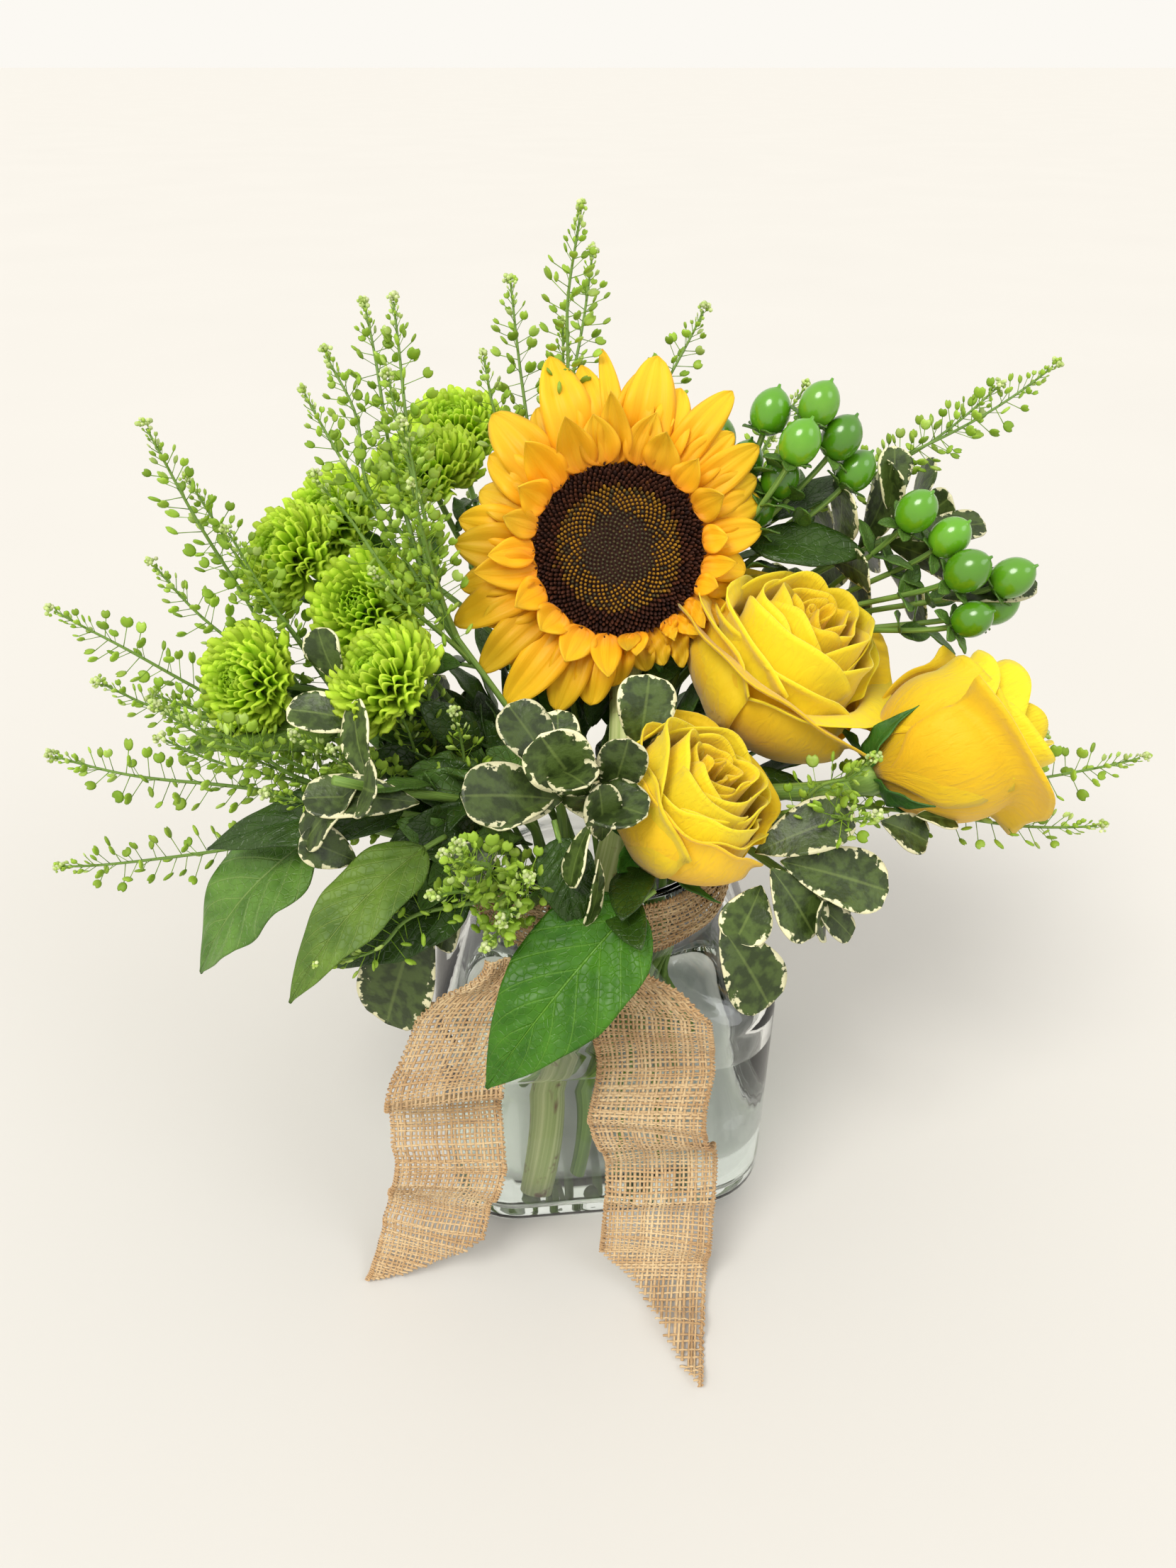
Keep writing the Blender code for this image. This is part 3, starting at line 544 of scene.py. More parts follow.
@dataclass(frozen=True)
class TintedTissue(Finish):
    """Small plant parts whose colour runs from one to another by the part's own tint.

    Petals of the mums, florets, pods and berries: each carries how far along the ramp it is.
    """

    stops: tuple = ((0.0, "#3E7A08"), (1.0, "#A6E020"))
    grain: float = 1.5 * MM  # size of the mottling
    mottle: float = 0.12  # how far the mottling moves the colour along the ramp
    length_share: float = 0.0  # how much the place along the part moves the colour

    def relief(self, tree: Tree) -> Node:
        """Fine pitting."""
        return self.mottling(tree, self.grain / 2, 2.0)

    def paint(self, tree: Tree) -> Node:
        """The ramp, moved a little by mottling and by the place along the part."""
        noise = self.mottling(tree, self.grain, 2.0)
        shift = self.maths(tree, "MULTIPLY_ADD", noise, 2 * self.mottle, -self.mottle)
        tint = self.part_tint(tree)
        level = self.maths(tree, "ADD", (tint, "X"), shift)
        place = self.maths(tree, "MULTIPLY_ADD", (self.place(tree), "Y"), self.length_share, level)
        ramp = add_node(tree, "ValToRGB", {0: place}, stops=self.stops)
        return self.varied(tree, ramp, (tint, "Y"), 0.8, 1.15)


@dataclass(frozen=True)
class StemSkin(Finish):
    """Fresh stem: fibres run along it, with paler streaks and brownish scars here and there."""

    light: str = "#A9BE62"
    dark: str = "#5E7F2A"
    scar: str = "#7A5A34"
    scar_level: float = 0.70
    scar_size: float = 7 * MM

    def relief(self, tree: Tree) -> Node:
        """Fibres along the stem, about 0.6 mm apart round it."""
        return self.drawn_out(tree, (26, 3), Detail=4.0)

    def paint(self, tree: Tree) -> Node:
        """Green fibres over which scars are spread."""
        stops = ((0.3, self.dark), (0.7, self.light))
        ramp = add_node(tree, "ValToRGB", {0: self.relief(tree)}, stops=stops)
        edge = (self.scar_level - 0.06, self.scar_level + 0.03)
        mask = self.ranged(tree, self.mottling(tree, self.scar_size), edge)
        return self.over(tree, mask, ramp, self.scar)


@dataclass(frozen=True)
class VeinedLeaf(Finish):
    """Waxy broad leaf: midrib, arched side veins and a fine net of small ones, pressed in from above."""

    roughness: float = 0.40
    specular: float = 0.4
    let_through: float = 0.15
    relief_depth: float = 0.35 * MM
    blade: str = "#2E7A1E"
    deep: str = "#1C5A14"
    vein: str = "#7DBB4A"
    pairs: float = 7.0  # of side veins
    sweep: float = 0.62  # how far the side veins run forward as they go out
    net: float = 2.4 * MM  # size of one mesh of the net
    cloud: float = 11 * MM  # size of the broad shading

    def veins(self, tree: Tree) -> Node:
        """1 on a midrib or side vein, falling to 0 between them."""
        split = self.place(tree)
        aside = self.maths(tree, "ABSOLUTE", self.maths(tree, "SUBTRACT", (split, "X"), 0.5))
        rib = self.ranged(tree, aside, (0.004, 0.015), (1.0, 0.0))
        forward = self.maths(tree, "MULTIPLY", aside, self.sweep)
        rise = self.maths(tree, "SUBTRACT", (split, "Y"), forward)
        saw = self.maths(tree, "FRACT", self.maths(tree, "MULTIPLY", rise, self.pairs))
        near = self.maths(tree, "ABSOLUTE", self.maths(tree, "SUBTRACT", saw, 0.5))
        return self.maths(tree, "MAXIMUM", rib, self.ranged(tree, near, (0.012, 0.06), (0.6, 0.0)))

    def netting(self, tree: Tree) -> Node:
        """The net of small veins: 0 on a vein, rising between them."""
        spot = {"Vector": (add_node(tree, "TexCoord"), "Object"), "Scale": 1 / self.net}
        edges = add_node(tree, "TexVoronoi", spot, feature="DISTANCE_TO_EDGE")
        return self.ranged(tree, edges, (0.0, 0.09))

    def paint(self, tree: Tree) -> Node:
        """Blade green with broad shading, then the net, then the main veins."""
        stops = ((0.35, self.deep), (0.65, self.blade))
        base = add_node(tree, "ValToRGB", {0: self.mottling(tree, self.cloud)}, stops=stops)
        net = self.ranged(tree, self.netting(tree), (0.0, 1.0), (0.14, 0.0))
        netted = self.over(tree, net, base, self.vein)
        share = self.maths(tree, "MULTIPLY", self.veins(tree), 0.55)
        veined = self.over(tree, share, netted, self.vein)
        return self.varied(tree, veined, (self.part_tint(tree), "X"), 0.7, 1.25)

    def relief(self, tree: Tree) -> Node:
        """Veins are sunk and the blade swells between them."""
        sunk = self.maths(tree, "MULTIPLY", self.veins(tree), -1.0)
        return self.maths(tree, "MULTIPLY_ADD", self.netting(tree), 0.35, sunk)


@dataclass(frozen=True)
class VariegatedLeaf(Finish):
    """Pittosporum leaf: leathery grey-green in broken patches, with an uneven cream margin."""

    deep: str = "#2E3E14"
    pale: str = "#4A5E26"
    rib: str = "#7C9048"
    margin: str = "#ECE8BC"
    reach: float = 0.09  # share of the half width that the margin takes
    ragged: float = 0.55  # how far that share strays
    patch: float = 4 * MM  # size of the broken patches
    notch: float = 2.6 * MM  # size of the bays in the margin
    dimple: float = 1.2 * MM

    def relief(self, tree: Tree) -> Node:
        """Leathery dimples."""
        return self.mottling(tree, self.dimple, 2.0)

    def paint(self, tree: Tree) -> Node:
        """Two greens in patches, and cream where the edge is nearer than an uneven distance."""
        stops = ((0.42, self.deep), (0.58, self.pale))
        base = add_node(tree, "ValToRGB", {0: self.mottling(tree, self.patch, 2.5)}, stops=stops)
        split = self.place(tree)
        aside = self.maths(tree, "ABSOLUTE", self.maths(tree, "ADD", (split, "X"), -0.5))
        edge = self.maths(tree, "MULTIPLY_ADD", aside, -2.0, 1.0)
        tip = self.maths(tree, "MULTIPLY_ADD", (split, "Y"), -4.5, 4.5)
        near = self.maths(tree, "MINIMUM", edge, tip)
        bays = self.mottling(tree, self.notch)
        reach = self.maths(tree, "MULTIPLY_ADD", bays, 2 * self.ragged, self.reach - self.ragged)
        cream = self.ranged(tree, self.maths(tree, "SUBTRACT", reach, near), (-0.02, 0.03))
        edged = self.over(tree, cream, base, self.margin)
        ribbed = self.over(tree, self.ranged(tree, aside, (0.01, 0.035), (0.4, 0.0)), edged, self.rib)
        return self.varied(tree, ribbed, (self.part_tint(tree), "X"), 0.75, 1.2)


@dataclass(frozen=True)
class JuteYarn(Finish):
    """Spun jute: dry matt fibre, straw to brown from yarn to yarn, with the twist along each."""

    pale: str = "#E8D0A4"
    mid: str = "#CBA97C"
    dark: str = "#96714A"
    twist: float = 0.7 * MM  # from fibre to fibre
    stretch: float = 14 * MM  # of one shade along the cloth

    def relief(self, tree: Tree) -> Node:
        """The fibres that wind round the yarn."""
        return self.mottling(tree, self.twist)

    def paint(self, tree: Tree) -> Node:
        """Colour by yarn, by stretches along the cloth and by the fibres."""
        mixed = self.maths(tree, "MULTIPLY_ADD", (self.part_tint(tree), "X"), 0.25, 0.10)
        mixed = self.maths(tree, "MULTIPLY_ADD", self.mottling(tree, self.stretch), 0.6, mixed)
        mixed = self.maths(tree, "MULTIPLY_ADD", self.relief(tree), 0.35, mixed)
        stops = ((0.30, self.dark), (0.62, self.mid), (0.95, self.pale))
        return add_node(tree, "ValToRGB", {0: mixed}, stops=stops)


@dataclass(frozen=True)
class ClearBody(Finish):
    """Glass or water: clear, smooth, and let through by the lamps so that it casts no black shade."""

    tint: str = "#F4FAF6"
    ior: float = 1.5

    def surface(self, tree: Tree) -> Node:
        """Clear to the eye, and plain transparent to the lamps' light."""
        body = {"Base Color": self.tint, "Roughness": self.roughness, "IOR": self.ior}
        shader = add_node(tree, "BsdfPrincipled", {**body, "Transmission Weight": 1.0})
        clear = add_node(tree, "BsdfTransparent", {"Color": self.tint})
        shade = (add_node(tree, "LightPath"), "Is Shadow Ray")
        return add_node(tree, "MixShader", {0: shade, 1: shader, 2: clear})


@dataclass(frozen=True)
class SeamlessFloor(Finish):
    """Matt studio floor: painted board, pale and even, with the faintest grain."""

    dull: str = "#CBC9C5"
    colour: str = "#CDCBC7"
    drift: float = 0.3  # metres from one shade to the next

    def paint(self, tree: Tree) -> Node:
        """One pale colour with a very slight drift."""
        noise = self.mottling(tree, self.drift, 2.0)
        return add_node(tree, "ValToRGB", {0: noise}, stops=((0.2, self.dull), (0.8, self.colour)))


CLEAR_GLASS = ClearBody("soda_lime_glass_moulded", roughness=0.015, tint="#FBFDFC", ior=1.5)
WATER = ClearBody("still_water", roughness=0.0, tint="#FBFDFA", ior=1.333)
JUTE = JuteYarn(
    "jute_yarn_plain_woven", roughness=0.92, specular=0.2, let_through=0.15, sheen=0.25,
    relief_depth=0.12 * MM,
)
HEM = JuteYarn(
    "jute_hem_overlocked", roughness=0.9, specular=0.2, sheen=0.25, relief_depth=0.1 * MM,
    pale="#D8B98C", mid="#B58E60", dark="#80593A",
)
RAY = RayPetal(
    "sunflower_ray_satin", roughness=0.5, specular=0.35, let_through=0.3, sheen=0.1,
    relief_depth=0.25 * MM,
)
ROSE = RosePetal(
    "rose_petal_velvet", roughness=0.55, specular=0.3, let_through=0.28, sheen=0.3,
    relief_depth=0.55 * MM,
)
FLORET = TintedTissue(
    "sunflower_florets_dry", roughness=0.75, specular=0.3, relief_depth=0.1 * MM, grain=1.2 * MM, mottle=0.05,
    stops=((0.0, "#45422E"), (0.28, "#4E4526"), (0.45, "#9A7018"), (0.6, "#4E2611"), (1.0, "#2A120B")),
)
MUM = TintedTissue(
    "mum_petal_satin", roughness=0.5, specular=0.35, let_through=0.35, relief_depth=0.1 * MM, mottle=0.05,
    stops=((0.0, "#3C6A04"), (0.38, "#92C40C"), (1.0, "#D2EE46")), length_share=0.45,
)
BERRY = TintedTissue(
    "hypericum_berry_waxed", roughness=0.22, specular=0.6, coat=0.5, let_through=0.1,
    relief_depth=0.03 * MM, grain=3 * MM, mottle=0.08, length_share=-0.2,
    stops=((0.0, "#44800C"), (0.5, "#5EA016"), (1.0, "#8CC23C")),
)
POD = TintedTissue(
    "pennycress_pod_papery", roughness=0.45, specular=0.4, let_through=0.35, relief_depth=0.05 * MM,
    mottle=0.08, stops=((0.0, "#557E1C"), (0.4, "#88B02C"), (0.75, "#B4D44C"), (1.0, "#E8F0BC")),
)
STEM = StemSkin(
    "green_stem_fresh", roughness=0.5, specular=0.4, relief_depth=0.12 * MM,
    dark="#4C7326", light="#8FAE52", scar_level=0.8,
)
SUN_STEM = StemSkin(
    "sunflower_stem_pale", roughness=0.55, relief_depth=0.2 * MM,
    dark="#93A852", light="#D3DA9A", scar_level=0.66,
)
SEPAL = VeinedLeaf(
    "rose_sepal_green", roughness=0.5, specular=0.5, relief_depth=0.1 * MM,
    blade="#3F7A22", deep="#2C5C1A", vein="#6FA048",
)
VARIEGATED = VariegatedLeaf(
    "pittosporum_leaf_leathery", roughness=0.42, specular=0.45, let_through=0.12, relief_depth=0.2 * MM,
)
FLOOR = SeamlessFloor("studio_floor_matt_paint", roughness=0.9, specular=0.1)


class LeafTone(Enum):
    """The shades of salal leaf in the bouquet, each a waxed blade with its own greens."""

    BRIGHT = VeinedLeaf("salal_leaf_young", specular=0.35, blade="#407610", deep="#2C5E08", vein="#6EA038")
    MID = VeinedLeaf("salal_leaf_grown", blade="#5C8430", deep="#446A20", vein="#8CA65C")
    DARK = VeinedLeaf(
        "salal_leaf_old", roughness=0.36, let_through=0.1, blade="#385616", deep="#26400C", vein="#527E34",
    )
    OLIVE = VeinedLeaf(
        "salal_leaf_under", roughness=0.5, let_through=0.2, blade="#6A8A2E", deep="#4C6C20", vein="#9AB45A",
    )


# ---- layout


@dataclass(frozen=True)
class Slot:
    """Where a stem passes the jar's mouth: a share of the bore, and a heading."""

    reach: float
    heading: float


@dataclass(frozen=True)
class Mouth:
    """The jar's mouth, from which every stem is laid out."""

    rim: float
    neck: float
    bore: float
    half: float  # inside of the jar, middle to side
    floor: float  # height of the stems' cut ends
    foot_twist: float = -96.0  # degrees that the bunch turns down to the feet
    foot_margin: float = 10 * MM
    clear: float = 4 * MM  # straight run above the rim

    @classmethod
    def measured(cls, jar: "GlassJar", foot_gap: float = 2.7 * MM) -> "Mouth":
        """The mouth of a jar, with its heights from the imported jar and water."""
        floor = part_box("jar_water")[0].z + foot_gap
        return cls(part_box("glass_jar")[1].z, jar.neck, jar.neck - jar.wall, jar.side / 2 - jar.wall, floor)

    def place(self, out: float, heading: float, up: float) -> Array:
        """A point so far out past the neck, on a heading, and up from the rim."""
        return vec(0, 0, self.rim + up) + towards(heading) * (self.neck + out)

    def through(self, slot: Slot) -> Array:
        """Where a stem passes the rim."""
        return vec(0, 0, self.rim) + towards(slot.heading) * (self.bore * slot.reach)

    def foot(self, slot: Slot) -> Array:
        """Where that stem's cut end stands in the water."""
        reach = (self.half - self.foot_margin) * slot.reach
        return towards(slot.heading + self.foot_twist) * reach + vec(0, 0, self.floor)

    def rise(self, slot: Slot, seat: Array, arrive: Array, steps: int = 14, lift: float = 0.0) -> Array:
        """A stem's line: straight through the jar, then bending to its seat from a lift past the rim."""
        foot, mouth = self.foot(slot), self.through(slot)
        along = unit(mouth - foot)
        clear = mouth + along * (lift or self.clear)
        reach = np.linalg.norm(seat - clear) * 0.8
        upper = bend(clear, along * reach, seat, arrive * reach, steps)
        lower = foot + (clear - foot) * np.linspace(0, 1, 7)[:-1, None]
        return np.concatenate([lower, upper])

    def leaf(self, habit: "Blade", spot: tuple, phase: float = 0.0) -> Patch:
        """A blade laid from its base, tip, width, and the heading and tilt of its face."""
        base, tip, width, heading, tilt = spot
        return habit.lay(self.place(*base), self.place(*tip), towards(heading, tilt), width, phase)

    def trunk(self, slot: Slot, fork: tuple) -> tuple[Array, Array, Array]:
        """Of a forked stem: the place of its fork, its line up to there, and the way it goes on."""
        end = self.place(*fork)
        line = self.rise(slot, end, unit(end - self.through(slot)))
        return end, line, unit(line[-1] - line[-2])


def outline(t: Array, base: float, tip: float) -> Array:
    """Half width of a blade along its length, 1 at its widest.

    Args:
        t: 0 at the base to 1 at the tip.
        base: How slowly it widens from the base.
        tip: How slowly it narrows to the tip.

    Returns:
        The share of the half width at each t.
    """
    peak = base / (base + tip)
    shape = np.clip(t, 0, 1) ** base * np.clip(1 - t, 0, 1) ** tip
    return np.maximum(shape / (peak**base * (1 - peak) ** tip), 0.035)


@dataclass(frozen=True)
class Blade:
    """A leaf or petal blade of one habit: its outline and how it is bent."""

    base: float = 0.55
    tip: float = 0.8
    rows: int = 26
    columns: int = 13
    arch: float = 0.07  # rise of the middle, as a share of the length
    fold: float = 0.20  # how far the halves fold up about the midrib
    wave: float = 0.06  # ripple of the edge, as a share of the half width
    ripples: float = 2.5
    teeth: int = 0
    quilt: float = 0.0  # swelling between the side veins, as a share of the half width
    pairs: float = 7.0  # of side veins
    vein_sweep: float = 0.31  # how far a side vein runs forward as it goes out
    droop: float = 0.0  # extra downward curl at the tip, as a share of the length
    thickness: float = 0.5 * MM

    def lay(self, root: Array, end: Array, face: Array, width: float, phase: float = 0.0) -> Patch:
        """The blade between two points.

        Args:
            root: Where it starts.
            end: Where its tip is.
            face: The direction that its upper side looks.
            width: Full width at its widest.
            phase: Shifts its ripples.

        Returns:
            The blade with both faces and its edge.
        """
        length = np.linalg.norm(end - root)
        along = (end - root) / length
        side = unit(np.cross(along, face))
        upper = np.cross(side, along)
        t, s = blade_grid(self.rows, self.columns)
        out = np.abs(s)
        half = width / 2 * outline(t, self.base, self.tip)
        if self.teeth:
            notch = 1 - 0.05 * np.abs(((t * self.teeth) % 1) - 0.5) * 2
            half = half * np.where(out > 0.99, notch, 1)
        lift = self.arch * length * np.sin(math.pi * t) + self.fold * out**1.3 * half
        ripple = np.sin(TURN * self.ripples * t + phase + (s > 0) * 1.7)
        lift += self.wave * half * out**2 * ripple
        lift -= self.droop * length * t**3
        if self.quilt:
            swell = np.abs(np.sin(math.pi * self.pairs * (t - out * self.vein_sweep)))
            lift += self.quilt * half * swell * (1 - out**4) * np.minimum(out * 4, 1)
        points = root + along * (length * t)[..., None] + side * (half * s)[..., None]
        return shell(points + upper * lift[..., None], self.thickness)


SALAL = Blade(rows=44, columns=25, teeth=40, quilt=0.10, fold=0.12, wave=0.08, base=0.52, tip=0.98)
PITTOSPORUM = Blade(base=0.85, tip=0.42, rows=22, columns=13, arch=0.06, fold=0.14, wave=0.07, ripples=1.6)
HYPERICUM = Blade(base=0.7, tip=0.8, rows=14, columns=7, arch=0.05, fold=0.15)
MUM_LEAF = Blade(base=0.6, tip=0.7, rows=20, columns=9, teeth=7, wave=0.25, fold=0.25, droop=0.15)
BRACT = Blade(base=0.45, tip=1.1, rows=10, columns=5, arch=0.04, fold=0.2, thickness=0.7 * MM)
ROSE_SEPAL = Blade(base=0.3, tip=1.25, rows=16, columns=7, fold=0.35, wave=0.2)
GREEN_PART = (0.4, 0.5, 0.0)  # tint of a plain green part, a little deeper than the middle


# ---- jar


@dataclass
class GlassJar:
    """A square jar with rounded corners, sloping shoulders, a round neck and a thick base."""

    side: float = 118 * MM
    corner: float = 25 * MM
    height: float = 140 * MM
    wall: float = 3.5 * MM
    base: float = 8 * MM
    foot_round: float = 10 * MM
    yaw: float = 5.5
    neck: float = 44 * MM
    neck_length: float = 24 * MM
    shoulder: float = 28 * MM
    around: int = 112

    def ring(self, half: float, corner: float, height: float) -> Array:
        """One rounded-square section."""
        angle = np.linspace(0, TURN, self.around, endpoint=False)
        sine, cosine = np.abs(np.sin(angle)), np.abs(np.cos(angle))
        across, along = np.maximum(sine, cosine), np.minimum(sine, cosine)
        flat = half / across
        centre = half - corner
        middle = centre * (across + along)
        round_part = middle + np.sqrt(np.maximum(middle**2 - 2 * centre**2 + corner**2, 0))
        reach = np.where(flat * along <= half - corner, flat, round_part)
        turn = angle + math.radians(self.yaw)
        return beside(reach * np.cos(turn), reach * np.sin(turn), height)

    def sections(self, inset: float, floor: float, top: float) -> list[Array]:
        """Rings up the jar's outside, or up a surface set in from it."""
        half, corner, neck = self.side / 2 - inset, self.corner - inset, self.neck - inset
        foot = max(self.foot_round - inset, 4 * MM)
        shoulder_top = self.height - self.neck_length
        rings = []
        for share in (0.3, 0.6, 0.8, 0.92):
            rings.append(self.ring((half - foot) * share, corner * share, floor + (1 - share) * 0.6 * MM))
        for angle in np.linspace(0, math.pi / 2, 9):
            pull = foot * (1 - math.sin(angle))
            rings.append(self.ring(half - pull, corner, floor + foot * (1 - math.cos(angle))))
        for t in np.linspace(0, 1, 17):
            blend = t * t * (3 - 2 * t)
            height = shoulder_top - self.shoulder * (1 - t)
            rings.append(self.ring(half + (neck - half) * blend, corner + (neck - corner) * blend, height))
        kept = [ring for ring in rings if ring[0, 2] < top - 0.5 * MM]
        last = kept[-1].copy()
        last[:, 2] = top
        return [*kept, last]

    def build(self) -> None:
        """The glass, with a rounded lip."""
        lip = self.wall / 2
        outside = self.sections(0, 0, self.height - lip)
        inside = self.sections(self.wall, self.base, self.height - lip)
        crown = []
        for angle in np.linspace(0, math.pi, 9)[1:-1]:
            radius = self.neck - lip + lip * math.cos(angle)
            crown.append(self.ring(radius, radius, self.height - lip + lip * math.sin(angle)))
        shape = Shape()
        shape.add(grid(np.array([*outside, *crown, *inside[::-1]]), closed=True, capped=True))
        shape.build("jar_glass", [CLEAR_GLASS], "jar_glass", ("glass_jar",))


@dataclass
class JarWater:
    """The water: it wets the glass, and its surface creeps up at the wall."""

    jar: GlassJar
    level: float
    overlap: float = 0.15 * MM

    def build(self) -> None:
        """The body of water and its meniscus."""
        inset = self.jar.wall - self.overlap
        rings = self.jar.sections(inset, self.jar.base - self.overlap, self.level + 1.2 * MM)
        edge = rings[-1]
        for share, drop in ((0.985, 0.7 * MM), (0.96, 1.05 * MM), (0.92, 1.2 * MM), (0.5, 1.2 * MM)):
            ring = edge * vec(share, share, 1)
            ring[:, 2] -= drop
            rings.append(ring)
        shape = Shape()
        shape.add(grid(np.array(rings), closed=True, capped=True))
        shape.build("jar_water_body", [WATER], "water", ("jar_water",))


# ---- ribbon


class Cloth:
    """A surface that woven threads follow, from a grid of points over the cloth."""

    def __init__(self, points: Array) -> None:
        """Keep the grid (rows along, columns across) and its normals."""
        self.points = points
        self.normals = unit(np.cross(np.gradient(points, axis=1), np.gradient(points, axis=0)))
        self.length = line_length(points[:, points.shape[1] // 2])

    def at(self, across: Array, along: Array) -> tuple[Array, Array]:
        """Points and normals at shares across and along the cloth."""
        rows, columns = self.points.shape[:2]
        row = np.clip(along * (rows - 1), 0, rows - 1.001)
        column = np.clip(across * (columns - 1), 0, columns - 1.001)
        r, c = row.astype(int), column.astype(int)
        fr, fc = (row - r)[..., None], (column - c)[..., None]
        found = []
        for values in (self.points, self.normals):
            low = values[r, c] * (1 - fc) + values[r, c + 1] * fc
            high = values[r + 1, c] * (1 - fc) + values[r + 1, c + 1] * fc
            found.append(low * (1 - fr) + high * fr)
        return found[0], found[1]


@dataclass
class Weave:
    """Plain weave of flattened jute yarns, over one and under one."""

    width: float = 38 * MM
    pitch: float = 1.55 * MM
    yarn: float = 0.95 * MM
    thick: float = 0.5 * MM
    cut: tuple[float, float] = (0.0, 0.0)  # metres cut from the end at the left and right edge
    hemmed: bool = True
    stitch: float = 1.4 * MM  # along the edge, of one turn of the overlocking yarn
    stitch_reach: float = 0.85 * MM
    stitch_rise: float = 0.55 * MM
    stitch_yarn: float = 0.27 * MM
    stray: float = 0.16  # how far a yarn lies off its place, as a share of the pitch
    sway: float = 0.10  # how far it wanders along its length, likewise
    seed: int = 1

    def thread(self, shape: Shape, line: tuple, height: Array, size: float, draw: Draw) -> None:
        """Add one yarn, flattened against the cloth.

        Args:
            shape: The piece that it goes into.
            line: Points on the cloth and the cloth's normals there.
            height: How far over or under the cloth each point of the yarn lies.
            size: The yarn's width.
            draw: Source of its colour.
        """
        points, normals = line
        points = points + normals * height[:, None]
        side = np.cross(unit(np.gradient(points, axis=0)), normals)
        corners = [side * size / 2, normals * self.thick / 2, -side * size / 2, -normals * self.thick / 2]
        ring = np.stack([points + corner for corner in corners], axis=1)
        shape.add(grid(ring, closed=True, capped=True), (draw.random(), draw.random(), 0.0))

    def fill(self, shape: Shape, cloth: Cloth) -> None:
        """Weave the whole cloth into a piece, with overlocked edges."""
        draw = np.random.default_rng(self.seed)
        warps = round(self.width / self.pitch)
        wefts = round(cloth.length / self.pitch)
        ends = 1 - np.interp(np.linspace(0, 1, warps), [0, 1], self.cut) / cloth.length
        rise = self.thick * 0.52
        for warp in range(warps):
            last = int(ends[warp] * wefts)
            step = np.arange(2 * last + 1) / 2
            height = rise * np.cos(math.pi * (step + warp))
            across = (warp + 0.5 + self.stray * draw.standard_normal()) / warps
            drift = across + self.sway / warps * np.sin(step * 0.23 + warp)
            size = self.yarn * draw.uniform(0.75, 1.2)
            self.thread(shape, cloth.at(drift, step / wefts), height, size, draw)
        for weft in range(wefts):
            share = (weft + 0.5) / wefts
            inside = np.flatnonzero(ends > share)
            if len(inside) < 2:
                continue
            low, high = inside[0], inside[-1] + 1
            step = np.arange(2 * low, 2 * high + 1) / 2
            height = -rise * np.cos(math.pi * (step + weft + 0.5))
            stray = self.stray * draw.standard_normal() + self.sway * np.sin(step * 0.4 + weft)
            size = self.yarn * draw.uniform(0.7, 1.15)
            self.thread(shape, cloth.at(step / warps, share + stray / wefts), height, size, draw)
        if self.hemmed:
            for edge, across in ((0, 0.018), (warps - 1, 0.982)):
                self.overlock(shape, cloth, across, ends[edge])

    def overlock(self, shape: Shape, cloth: Cloth, across: float, end: float) -> None:
        """A sewing yarn that winds round one long edge."""
        turns = int(end * cloth.length / self.stitch)
        step = np.arange(turns * 8 + 1) / 8
        points, normals = cloth.at(np.full(len(step), across), step / turns * end)
        side = np.cross(unit(np.gradient(points, axis=0)), normals)
        angle = (TURN * step)[:, None]
        wound = points + side * np.cos(angle) * self.stitch_reach + normals * np.sin(angle) * self.stitch_rise
        shape.add(tube(wound, self.stitch_yarn, sides=4), (0.5, 0.5, 1.0), slot=1)


